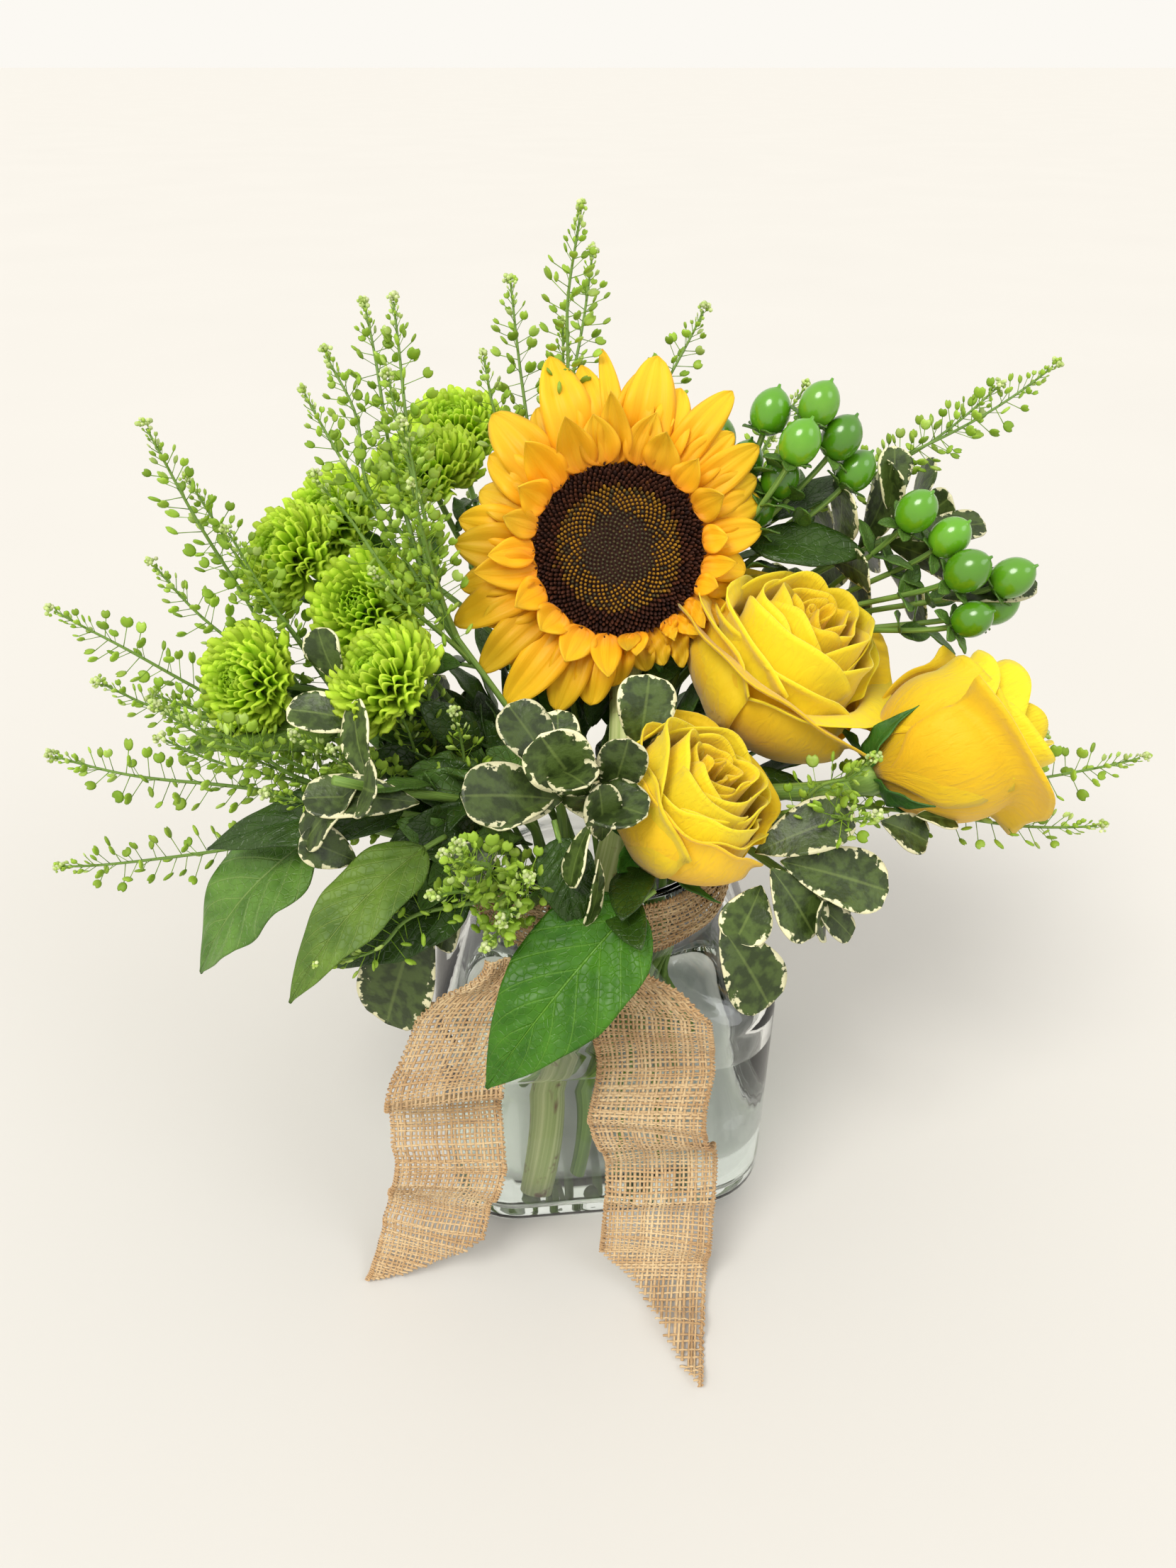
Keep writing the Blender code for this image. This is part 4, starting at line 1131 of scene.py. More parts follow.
@dataclass
class RibbonTail:
    """One free end of the ribbon: it hangs over the jar and its cut tip lies out on the table."""

    name: str
    stations: tuple  # ((across, proud of the front, share of the knot's height), (ahead, above))
    cut: tuple[float, float]
    seed: int
    hand: int  # which way the knot lies: 1 to the right, -1 to the left
    width: float = 38 * MM
    front: float = 59 * MM
    knot_height: float = 128 * MM
    crinkle: float = 1.15 * MM
    pinch: float = 0.52  # share of the width left where the knot grips it
    pinched: float = 24 * MM  # how far from the knot it is gathered
    pleat: float = 2.2 * MM
    cup: float = 1.0 * MM  # how far the edges curl, to and fro along the tail
    cup_length: float = 48 * MM
    above_table: float = 1.2 * MM

    def surface(self, rows: int = 260, columns: int = 25) -> Array:
        """The cloth's middle surface: smooth through its stations, with cross-wise crinkles."""
        spots = np.array([spot for spot, _ in self.stations])
        turns = np.array([turn for _, turn in self.stations])
        centres = beside(spots[:, 0], -self.front - spots[:, 1], spots[:, 2] * self.knot_height)
        sides = unit(beside(np.ones(len(turns)), -turns[:, 0], turns[:, 1]))
        fine = np.linspace(0, len(centres) - 1, rows)
        index = np.minimum(fine.astype(int), len(centres) - 2)
        t = (fine - index)[:, None]

        def smooth(values: Array) -> Array:
            """A smooth run through one value for each station."""
            before = values[np.maximum(index - 1, 0)]
            after = values[np.minimum(index + 2, len(values) - 1)]
            start, end = values[index], values[index + 1]
            return hermite(start, (end - before) / 2, end, (after - start) / 2, t)

        middle, side = smooth(centres), unit(smooth(sides))
        tangent = unit(np.gradient(middle, axis=0))
        normal = unit(np.cross(tangent, side))
        draw = np.random.default_rng(self.seed)
        run = np.concatenate([[0], np.cumsum(np.linalg.norm(np.diff(middle, axis=0), axis=1))])
        across = np.linspace(-1, 1, columns)
        ripple = np.zeros((rows, columns))
        for length, share in ((26 * MM, 1.0), (15 * MM, 0.6), (9 * MM, 0.35)):
            phase, lean = draw.uniform(0, 6.3), draw.uniform(-1.2, 1.2)
            ripple += share * np.sin(TURN * run[:, None] / length + phase + lean * across)
        cup = self.cup * across**2 * np.sin(TURN * run[:, None] / self.cup_length + draw.uniform(0, 6))
        free = self.pinch + (1 - self.pinch) * ease(run, 0, self.pinched)[:, None]
        reach = self.width * (across * free / 2 + self.hand * (1 - free) * 0.85)
        points = middle[:, None] + side[:, None] * reach[..., None]
        pleats = self.pleat * (1 - free) * np.sin(7.5 * across + 1)
        points = points + normal[:, None] * (self.crinkle * ripple * free + cup + pleats)[..., None]
        points[..., 2] = np.maximum(points[..., 2], self.above_table)
        return points[:, ::-1]

    def build(self) -> None:
        """Weave the tail."""
        cloth = Cloth(self.surface())
        shape = Shape()
        Weave(cut=self.cut, seed=self.seed).fill(shape, cloth)
        made = shape.build(f"burlap_{self.name}", [JUTE, HEM], "burlap", (f"ribbon_{self.name}",))
        LOG.info("%s: %.3f m of ribbon", self.name, cloth.length)


@dataclass
class BurlapRibbon:
    """The ribbon: a gathered band round the neck, a knot in front and two tails."""

    width: float = 38 * MM
    radius: float = 45.6 * MM  # of the band's inner folds, round the neck
    folds: int = 5
    fold: float = 1.3 * MM  # depth of the band's folds
    pucker: float = 0.3 * MM
    knot_width: float = 26 * MM  # of the ribbon where it is folded for the knot

    def band(self) -> None:
        """The band, gathered into folds that run round the neck."""
        low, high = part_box("ribbon_band")
        rows, columns = 190, 33
        turn = np.linspace(0, TURN, rows)[:, None]
        share = np.linspace(0, 1, columns)[None]
        folded = np.sin(share * math.pi * self.folds + 0.5 * np.sin(3 * turn)) ** 2
        radius = self.radius + self.fold * folded + self.pucker * np.sin(turn * 11 + 6 * share)
        height = low.z + (high.z - low.z) * (share + 0.02 * np.sin(4 * turn))
        spin = turn + math.pi / 2
        points = beside(radius * np.cos(spin), radius * np.sin(spin), height)
        cloth = Cloth(points[:, ::-1])
        shape = Shape()
        Weave(width=self.width, pitch=1.75 * MM, seed=5).fill(shape, cloth)
        made = shape.build("burlap_band", [JUTE, HEM], "burlap", ("ribbon_band",))

    def knot(self) -> None:
        """The knot: the ribbon folded narrow and wrapped once over the band."""
        low, high = corners_of("ribbon_knot")
        centre, size = (low + high) / 2, high - low
        turn = np.linspace(0, TURN, 70)[:, None]
        share = np.linspace(-1, 1, 21)[None]
        pinch = 1 - 0.16 * np.cos(math.pi * share) ** 2 + 0.05 * np.sin(9 * share + 2 * turn)
        x = centre[0] + share * size[0] / 2 * (1 - 0.12 * np.cos(turn))
        y = centre[1] - size[1] * 0.46 * np.cos(turn) * pinch
        z = centre[2] + size[2] * 0.50 * np.sin(turn) * pinch
        cloth = Cloth(beside(x, y, z)[:, ::-1])
        shape = Shape()
        Weave(width=self.knot_width, pitch=1.5 * MM, hemmed=False, seed=9).fill(shape, cloth)
        made = shape.build("burlap_knot", [JUTE, HEM], "burlap", ("ribbon_knot",))

    def build(self) -> None:
        """The band, the knot and the tails."""
        self.band()
        self.knot()
        left = (
            ((-0.039, 0.003, 1.03), (0.25, 0.30)), ((-0.038, 0.004, 0.87), (0.05, 0.10)),
            ((-0.048, 0.014, 0.69), (-0.10, 0.08)), ((-0.051, 0.004, 0.53), (0.00, 0.10)),
            ((-0.049, 0.018, 0.40), (0.10, 0.12)), ((-0.055, 0.012, 0.23), (0.25, 0.12)),
            ((-0.059, 0.019, 0.08), (0.30, 0.05)), ((-0.063, 0.029, 0.012), (0.30, 0.00)),
        )
        right = (
            ((0.018, 0.004, 1.03), (-0.10, 0.05)), ((0.017, 0.004, 0.86), (0.10, 0.00)),
            ((0.019, 0.006, 0.69), (-0.05, 0.00)), ((0.016, 0.017, 0.57), (0.05, -0.04)),
            ((0.022, 0.009, 0.38), (-0.05, 0.00)), ((0.021, 0.018, 0.18), (0.05, 0.00)),
            ((0.019, 0.026, 0.05), (0.00, 0.00)), ((0.015, 0.062, 0.010), (0.00, 0.00)),
        )
        RibbonTail("tail_left", left, (34 * MM, 0.0), seed=11, hand=1).build()
        RibbonTail("tail_right", right, (0.0, 38 * MM), seed=12, hand=-1).build()


# ---- sunflower


@dataclass
class Sunflower:
    """The sunflower: a domed seed disc, two kinds of ray petal, green bracts behind and a thick stem."""

    mouth: Mouth
    heading: float = 0.0
    tilt: float = 27.0
    disc: float = 27.5 * MM
    dome: float = 5.5 * MM
    florets: int = 1350
    stem: float = 5.8 * MM
    ray_thickness: float = 0.45 * MM
    tucked: float = 0.5 * MM  # how far a ray's root goes in under the florets
    crumpled: tuple = (142, 34, 8)  # angle of the crumpled rays, and how far off that they are flat or full
    # Outer rays, clockwise from the top as the flower is faced: angle, length and width
    outer: tuple = (
        (-22, 65, 17), (-10, 60, 13), (-2, 65, 7), (5, 58, 13), (13, 62, 17), (24, 55, 13), (33, 62, 12),
        (43, 52, 13), (54, 56, 12), (63, 50, 12), (72, 49, 13), (84, 47, 12), (97, 42, 12), (109, 41, 10),
        (122, 47, 9), (134, 40, 9), (145, 43, 8), (157, 40, 8), (169, 40, 10), (181, 44, 12),
        (192, 51, 14), (203, 56, 14), (214, 62, 15), (224, 52, 13), (232, 60, 13), (241, 50, 13),
        (248, 59, 14), (258, 53, 13), (269, 53, 17), (281, 53, 14), (293, 49, 15), (304, 52, 14),
        (315, 60, 17), (327, 52, 15),
    )
    # Inner rays, which are short and curl up over the disc: angle, length and width
    inner: tuple = (
        (-16, 44, 15), (2, 46, 13), (17, 45, 14), (31, 42, 15), (46, 40, 12), (66, 41, 13), (84, 38, 11),
        (101, 38, 9), (115, 36, 9), (128, 35, 7), (139, 37, 6), (150, 35, 7), (163, 36, 8), (176, 37, 9),
        (190, 40, 12), (207, 43, 14), (224, 42, 14), (240, 41, 13), (256, 45, 15), (272, 41, 12),
        (288, 38, 11), (301, 43, 15), (316, 44, 16), (331, 46, 15),
    )

    # Rings of bracts, front to back: how many, their place out from the axis, length and width
    bracts: tuple = ((22, 20, 22, 10), (18, 15, 21, 11), (13, 9, 18, 10))

    def frame_axes(self) -> tuple[Array, Array, Array, Array]:
        """The flower's centre, axis, upward and rightward directions."""
        axis = towards(self.heading, self.tilt)
        right = unit(np.cross(vec(0, 0, 1), axis))
        return middle_of("sunflower_disc"), axis, np.cross(axis, right), right

    def ray(self, sizes: tuple, layer: float, draw: Draw) -> Patch:
        """One ray petal.

        Args:
            sizes: Where it stands, in degrees clockwise from the top, its length from the middle of
                the disc and its full width, both in millimetres.
            layer: 0 for the outer rays, 1 for the inner ones that curl forward.
            draw: Source of the petal's own bends.

        Returns:
            The petal.
        """
        angle, length, width = sizes
        centre, axis, up, right = self.frame_axes()
        out = spoke(up, right, math.radians(angle))
        side = np.cross(axis, out)
        start = self.disc - self.tucked
        reach = length * MM - start
        t, s = blade_grid(24, 11)
        worst, flat, full = self.crumpled
        crumple = ease(np.array(abs(angle - worst)), flat, full)
        blunt = 0.50 + 0.14 * draw.random() + layer * (0.20 + 0.25 * draw.random())
        half = width * MM / 2 * outline(t, 0.42, blunt) * (1 - 0.12 * layer)
        lift = layer * (1.0 + 4.5 * t) * MM + (0.8 + 1.2 * layer) * MM
        curl = draw.uniform(-0.05, 0.16) + layer * draw.uniform(-0.05, 0.6) + 0.25 * crumple
        lift = lift + reach * (curl * t**2.2 + 0.10 * np.sin(math.pi * t) * (1 - layer))
        lift = lift - (1 - layer) * reach * draw.uniform(0.02, 0.22) * ease(t, 0.5, 1.0)
        trough = draw.uniform(0.10, 0.34) + 0.12 * layer
        lift = lift + half * (trough * s**2 + 0.10 * np.cos(3 * math.pi * s))
        ripple = draw.uniform(0.06, 0.14) + 0.35 * crumple
        waves = np.sin(TURN * (1.4 + crumple) * t + draw.uniform(0, 6.3) + 2.0 * s)
        lift = lift + half * ripple * waves * (0.3 + s**2)
        sway = draw.uniform(-0.10, 0.10) * (1 + layer) + 0.3 * crumple * draw.uniform(-1, 1)
        twist = draw.uniform(-0.35, 0.35) * (1 + layer) * t + 0.8 * crumple * draw.uniform(-1, 1) * t
        aside = half * s * np.cos(twist) + sway * reach * t**2
        lift = lift + half * s * np.sin(twist)
        outward = start + reach * t * (1 - 0.18 * layer * t)
        points = centre + out * outward[..., None] + side * aside[..., None] + axis * lift[..., None]
        return shell(points, self.ray_thickness)

    def build_rays(self) -> None:
        """All the ray petals, outer ones first."""
        draw = np.random.default_rng(21)
        shape = Shape()
        for layer, rays in ((0.0, self.outer), (1.0, self.inner)):
            for angle, length, width in rays:
                length *= 1 + layer * draw.uniform(-0.10, 0.16)
                angle += layer * draw.uniform(-5, 5)
                petal = self.ray((angle, length, width), layer, draw)
                shape.add(petal, (draw.random(), draw.random(), layer))
        shape.build("sunflower_rays", [RAY], "ray_petal", ("sunflower_petals",))

    def build_disc(self) -> None:
        """The domed disc with its spiral of florets: dry in the rim, open in a ring, shut in the middle."""
        centre, axis, up, right = self.frame_axes()
        draw = np.random.default_rng(22)
        number = np.arange(self.florets)
        share = np.sqrt((number + 0.5) / self.florets)
        angle = number * GOLDEN_ANGLE
        height = self.dome * np.cos(share * math.pi / 2) ** 0.8 + 0.8 * MM
        height = height - 1.6 * MM * np.exp(-((share / 0.30) ** 2))
        out = spoke(right, up, angle)
        spots = centre + out * (share * self.disc)[:, None] + axis * height[:, None]
        lean = axis + out * (0.55 * share**2)[:, None] + 0.10 * draw.standard_normal((self.florets, 3))
        rim = ease(share, 0.62, 0.80)
        ring = ease(share, 0.36, 0.48) * (1 - ease(share, 0.62, 0.74))
        wide = 0.44 * MM * (1 + 0.5 * rim + 0.15 * ring)
        tall = (0.75 + 0.5 * ring + 1.9 * rim) * MM * draw.uniform(0.75, 1.2, self.florets)
        tone = 0.12 + 0.08 * ring + 0.72 * rim + 0.10 * draw.standard_normal(self.florets)
        gold = (draw.random(self.florets) < 0.85 * ring) * 1.0
        tone = np.where(gold > 0, 0.45, tone)
        tints = beside(np.clip(tone, 0, 1), draw.random(self.florets), gold)
        bud = lathe([(0.75, -0.6), (1.0, 0.15), (0.95, 0.55), (0.62, 0.85), (0.25, 1.0)], 6)
        sizes = beside(wide, wide, tall)
        shape = Shape()
        shape.stamp(bud, frames(spots, lean, out, sizes), tints)
        profile = [
            (0.55 * self.disc, -6.5 * MM), (0.92 * self.disc, -4.5 * MM), (1.0 * self.disc, -1.5 * MM),
            (0.99 * self.disc, 0.4 * MM), (0.85 * self.disc, 1.7 * MM), (0.6 * self.disc, 3.6 * MM),
            (0.3 * self.disc, 4.4 * MM), (0.02 * self.disc, 4.0 * MM),
        ]
        shape.stamp(lathe(profile, 64), frames(centre, axis, right), (0.85, 0.2, 0.0))
        shape.build("sunflower_seed_disc", [FLORET], "seed_disc", ("sunflower_disc",))

    def build_back(self) -> None:
        """The green receptacle and its bracts, and the stem down into the jar."""
        centre, axis, up, right = self.frame_axes()
        draw = np.random.default_rng(23)
        shape = Shape()
        for ring, (count, start, length, width) in enumerate(self.bracts):
            for number in range(count):
                turn = TURN * (number + 0.5 * ring) / count + 0.1 * draw.standard_normal()
                out = spoke(up, right, turn)
                root = centre + out * start * MM - axis * (5.5 + 2.2 * ring) * MM
                tip = root + unit(out - axis * (0.05 + 0.25 * ring * draw.random())) * length * MM
                blade = BRACT.lay(root, tip, -axis + 0.3 * out, width * MM, draw.uniform(0, 6))
                shape.add(blade, (draw.random(), 0.5, 0.0), slot=1)
        back = lathe([(7, -17), (11, -13.5), (19, -10.5), (26, -7.0), (28, -3.5), (26, -1.5)], 40)
        shape.stamp(back, frames(centre, axis, right, MM), GREEN_PART)
        half = self.mouth.half
        foot = vec(-0.41 * half, -half + self.stem + 3 * MM, self.mouth.floor)
        through = vec(6 * MM, -16 * MM, self.mouth.rim)
        along = unit(through - foot)
        clear = through + along * self.mouth.clear
        neck = centre - axis * 17 * MM
        reach = np.linalg.norm(neck - clear)
        upper = bend(clear, along * reach, neck, axis * reach, 22)
        lower = foot + (clear - foot) * np.linspace(0, 1, 16)[:-1, None]
        line = np.concatenate([lower, upper])
        run = np.linspace(0, 1, len(line))
        swell = 1 + 0.03 * np.sin(run * 37) + 0.25 * ease(run, 0.9, 1.0)
        shape.add(tube(line, self.stem * swell, 20), (0.5, 0.5, 0.0))
        shape.build("sunflower_stem_and_bracts", [SUN_STEM, SEPAL], "green_stem", ("sunflower_stem",))

    def build(self) -> None:
        """The whole flower."""
        self.build_back()
        self.build_disc()
        self.build_rays()


# ---- roses


class Bloom(Enum):
    """How far a rose is open: its lip's flare, its petals, how much of the heart's deeper gold (partly
    painted shade) its inner petals take, and how low the outer ones stand.
    """

    OPEN = (0.24, 28, 0.92, 0.24)
    HALF = (0.12, 25, 0.84, 0.15)
    BUD = (0.26, 18, 0.70, 0.12)

    def __init__(self, flare: float, petals: int, heart: float, drop: float) -> None:
        """Keep the four measures."""
        self.flare = flare
        self.petals = petals
        self.heart = heart
        self.drop = drop


@dataclass
class Rose:
    """A rose: petals wrapped in a spiral, five sepals under them, a hip and a stem."""

    name: str
    mouth: Mouth
    seat: tuple
    crown: tuple
    radius: float
    slot: Slot
    bloom: Bloom
    seed: int
    lift: float = 0.0  # where its stem starts to bend, past the rim
    stem: float = 2.8 * MM
    hip: float = 6.5 * MM
    petal_thickness: float = 0.5 * MM
    petal_turn: float = 144.0  # degrees from one petal to the next
    sepals: int = 5

    def petal(self, number: int, draw: Draw, places: tuple) -> tuple[Patch, float]:
        """One petal of the spiral.

        Args:
            number: 0 for the outermost.
            draw: Source of the petal's own bends.
            places: The rose's seat, its axis, two directions across it and its height.

        Returns:
            The petal, and how far in it is, from 0 outside to 1 at the heart.
        """
        seat, axis, across, third, length = places
        inward = number / (self.bloom.petals - 1)
        risen = 0.98 - self.bloom.drop * (1 - float(ease(np.array(inward), 0.0, 0.5))) - 0.05 * inward**2
        wrap = number * math.radians(self.petal_turn) + 0.25 * draw.standard_normal()
        span = math.radians(150 - 15 * inward) * (1 if number else 0.9)
        size = self.radius * (0.10 + 0.90 * (1 - inward) ** 0.85)
        top = length * (risen + 0.035 * draw.standard_normal() * (1 - inward))
        v, u = blade_grid(22, 23)
        belly = np.sin(math.pi / 2 * np.minimum(v / 0.62, 1)) ** 0.75
        waist = 1 - 0.16 * ease(v, 0.62, 1.0) * (1 - 0.4 * inward)
        reach = size * (0.24 + 0.76 * belly) * waist
        outer = ease(np.array(inward), 0.55, 0.0)
        flare = self.bloom.flare * (0.35 + 1.2 * draw.random()) * outer
        reach = reach * (1 + flare * ease(v, 0.72, 1.0) ** 1.5 * 1.6)
        reach = reach + u * 0.055 * self.radius
        reach = reach * (1 + 0.10 * outer * np.abs(u) ** 5 * ease(v, 0.35, 0.9))
        angle = wrap + u * span / 2 * (0.45 + 0.55 * np.minimum(v / 0.35, 1))
        shared = 0.040 * np.sin(3 * angle + self.seed) + 0.026 * np.sin(5 * angle + 2 * self.seed + 2 * v)
        reach = reach + self.radius * shared * v**2
        frill = 0.050 * outer * np.sin(5.5 * u + draw.uniform(0, 6.3)) + 0.03 * outer * np.sin(11 * u + 2 * v)
        reach = reach + self.radius * frill * ease(v, 0.70, 1.0)
        cut = 0.20 * np.abs(u) ** 2.6 + 0.03 * np.sin(4 * u + draw.uniform(0, 6.3)) * v
        height = top * v * (1 - cut)
        height = height - top * 0.05 * outer * ease(v, 0.85, 1.0) * (1 + np.cos(2 * u))
        points = seat + spoke(across, third, angle) * reach[..., None] + axis * height[..., None]
        return shell(points, self.petal_thickness), inward

    def build(self) -> None:
        """The bloom and its stem."""
        draw = np.random.default_rng(self.seed)
        seat, crown = self.mouth.place(*self.seat), self.mouth.place(*self.crown)
        axis, length = unit(crown - seat), float(np.linalg.norm(crown - seat))
        across = unit(np.cross(axis, vec(0, 0, 1)))
        places = (seat, axis, across, np.cross(axis, across), length)
        shape = Shape()
        for number in range(self.bloom.petals):
            patch, inward = self.petal(number, draw, places)
            deep = max(0.0, 1 - number / 3.5) * 0.55
            # tint Y: how much of the heart's deeper gold, partly painted shade, this petal takes
            shape.add(patch, (draw.random(), inward**2 * self.bloom.heart * 0.75, deep))
        shape.build(f"rose_{self.name}_petals", [ROSE], "rose_petal", (f"rose_{self.name}_bloom",))
        self.build_stem(seat, axis, across, draw)

    def build_stem(self, seat: Array, axis: Array, across: Array, draw: Draw) -> None:
        """The stem, the hip and the sepals."""
        shape = Shape()
        line = self.mouth.rise(self.slot, seat - axis * 7 * MM, axis, lift=self.lift)
        shape.add(tube(line, self.stem, 12))
        hip = [
            (2.6 * MM, -8.5 * MM), (4.6 * MM, -6.5 * MM), (self.hip, -3 * MM), (self.hip, -0.5 * MM),
            (self.hip * 0.75, 1.2 * MM), (2 * MM, 1.5 * MM),
        ]
        shape.stamp(lathe(hip, 20), frames(seat, axis, across), GREEN_PART)
        for number in range(self.sepals):
            turn = TURN * number / self.sepals + draw.uniform(-0.2, 0.2)
            out = spoke(across, np.cross(axis, across), turn)
            root = seat + out * self.hip * 0.8 - axis * 0.5 * MM
            hug = draw.uniform(0.15, 1.0)
            way = unit(out * (1.0 - 0.45 * hug) + axis * (hug * 1.2 - 0.25))
            tip = root + way * draw.uniform(19, 26) * MM
            sepal = replace(ROSE_SEPAL, arch=-0.10 + 0.3 * hug, droop=draw.uniform(-0.25, 0.35))
            blade = sepal.lay(root, tip, out + axis * 0.3, 9 * MM, draw.uniform(0, 6))
            shape.add(blade, (draw.random(), 0.5, 0.0), slot=1)
        node = f"rose_{self.name}_stem"
        shape.build(f"{node}_and_sepals", [STEM, SEPAL], "green_stem", (node,))


# ---- mums


@dataclass
class ButtonMum:
    """A button chrysanthemum: rings of narrow hooded petals over a dome, tightest at the eye."""

    number: int
    heading: float
    tilt: float
    size: float = 1.22  # over a head 31 mm across
    petals: int = 250
    lowest: float = 112.0  # degrees from the axis to the outermost petals
    bracts: int = 13  # in each of two rings

    def build(self) -> None:
        """The head."""
        centre, axis = middle_of(f"mum_head_{self.number}"), towards(self.heading, self.tilt)
        across = unit(np.cross(axis, vec(0.3, 0.1, 1)))
        third = np.cross(axis, across)
        draw = np.random.default_rng(40 + self.number)
        number = np.arange(self.petals)
        share = np.sqrt((number + 0.5) / self.petals)
        angle = number * GOLDEN_ANGLE + 0.06 * draw.standard_normal(self.petals)
        out = spoke(across, third, angle)
        lean = share**1.25 * math.radians(self.lowest) + 0.06 * draw.standard_normal(self.petals)
        way = spoke(axis, out, lean)
        roots = centre + out * (share * 6.4 * MM)[:, None] - axis * (1.5 + 3.5 * share**2)[:, None] * MM
        long = self.size * (4.0 + 7.4 * ease(share, 0.1, 0.75)) * MM * draw.uniform(0.88, 1.1, self.petals)
        wide = self.size * (1.7 + 2.1 * share) * MM
        t, s = blade_grid(8, 5)
        half = 0.5 * outline(t * 0.98, 0.6, 0.22)
        hood = -0.16 * t**3 + 0.05 * np.sin(math.pi * t)
        cupped = beside(half * s, hood + 0.55 * half * s**2 * 0.5, t)
        petal = shell(cupped[:, ::-1], 0.05)
        sizes = beside(wide, long, long)
        sides = np.cross(way, axis + 0.001 * out)
        tone = 0.62 * ease(share, 0.05, 0.65) + 0.06 * draw.standard_normal(self.petals)
        tints = beside(np.clip(tone, 0, 1), draw.random(self.petals), share)
        shape = Shape()
        shape.stamp(petal, frames(roots, way, sides, sizes), tints)
        cup = lathe([(1.6, -9), (4.5, -7.6), (7.0, -5.0), (6.0, -2), (2, 0.5)], 20)
        shape.stamp(cup, frames(centre, axis, across, MM), GREEN_PART, slot=1)
        for ring in range(2):
            for step in range(self.bracts):
                aside = spoke(across, third, TURN * (step + 0.5 * ring) / self.bracts)
                root = centre + aside * (4.5 + 1.5 * ring) * MM - axis * (7.5 - 1.5 * ring) * MM
                tip = root + unit(aside + axis * (0.35 + 0.35 * ring)) * 6 * MM
                shape.add(BRACT.lay(root, tip, aside - axis, 3.2 * MM), (draw.random(), 0.5, 0), slot=1)
        shape.build(f"mum_{self.number}", [MUM, SEPAL], "mum_petal", (f"mum_head_{self.number}",))


@dataclass
class MumStem:
    """A forked chrysanthemum stem, with a small lobed leaf or two under its heads."""

    name: str
    mouth: Mouth
    slot: Slot
    fork: tuple
    heads: list[ButtonMum]
    thick: float = 1.8 * MM
    steps: int = 18  # along each branch

    def build(self) -> None:
        """The trunk and a branch to each head."""
        draw = np.random.default_rng(50 + len(self.heads))
        fork, trunk, onward = self.mouth.trunk(self.slot, self.fork)
        shape = Shape()
        shape.add(tube(trunk, self.thick, 10))
        for number, head in enumerate(self.heads):
            axis = towards(head.heading, head.tilt)
            end = middle_of(f"mum_head_{head.number}") - axis * 8 * MM
            start = fork - onward * 4 * MM * number
            reach = np.linalg.norm(end - start)
            leave = unit(unit(end - start) + onward * 0.8)
            line = bend(start, leave * reach, end, axis * reach * 0.6, self.steps)
            shape.add(tube(line, self.thick * 0.62, 8))
            for share in (0.45, 0.7):
                root = line[int(share * self.steps)]
                out = unit(np.cross(axis, draw.standard_normal(3)))
                tip = root + unit(out + axis * 0.5) * draw.uniform(16, 24) * MM
                leaf = MUM_LEAF.lay(root, tip, axis - out * 0.3, 9 * MM, draw.uniform(0, 6))
                shape.add(leaf, (draw.random(), 0.5, 0), slot=1)
        finishes = [STEM, LeafTone.MID.value]
        shape.build(f"mum_branches_{self.name}", finishes, "green_stem", (f"mum_stem_{self.name}",))


# ---- berries and pods


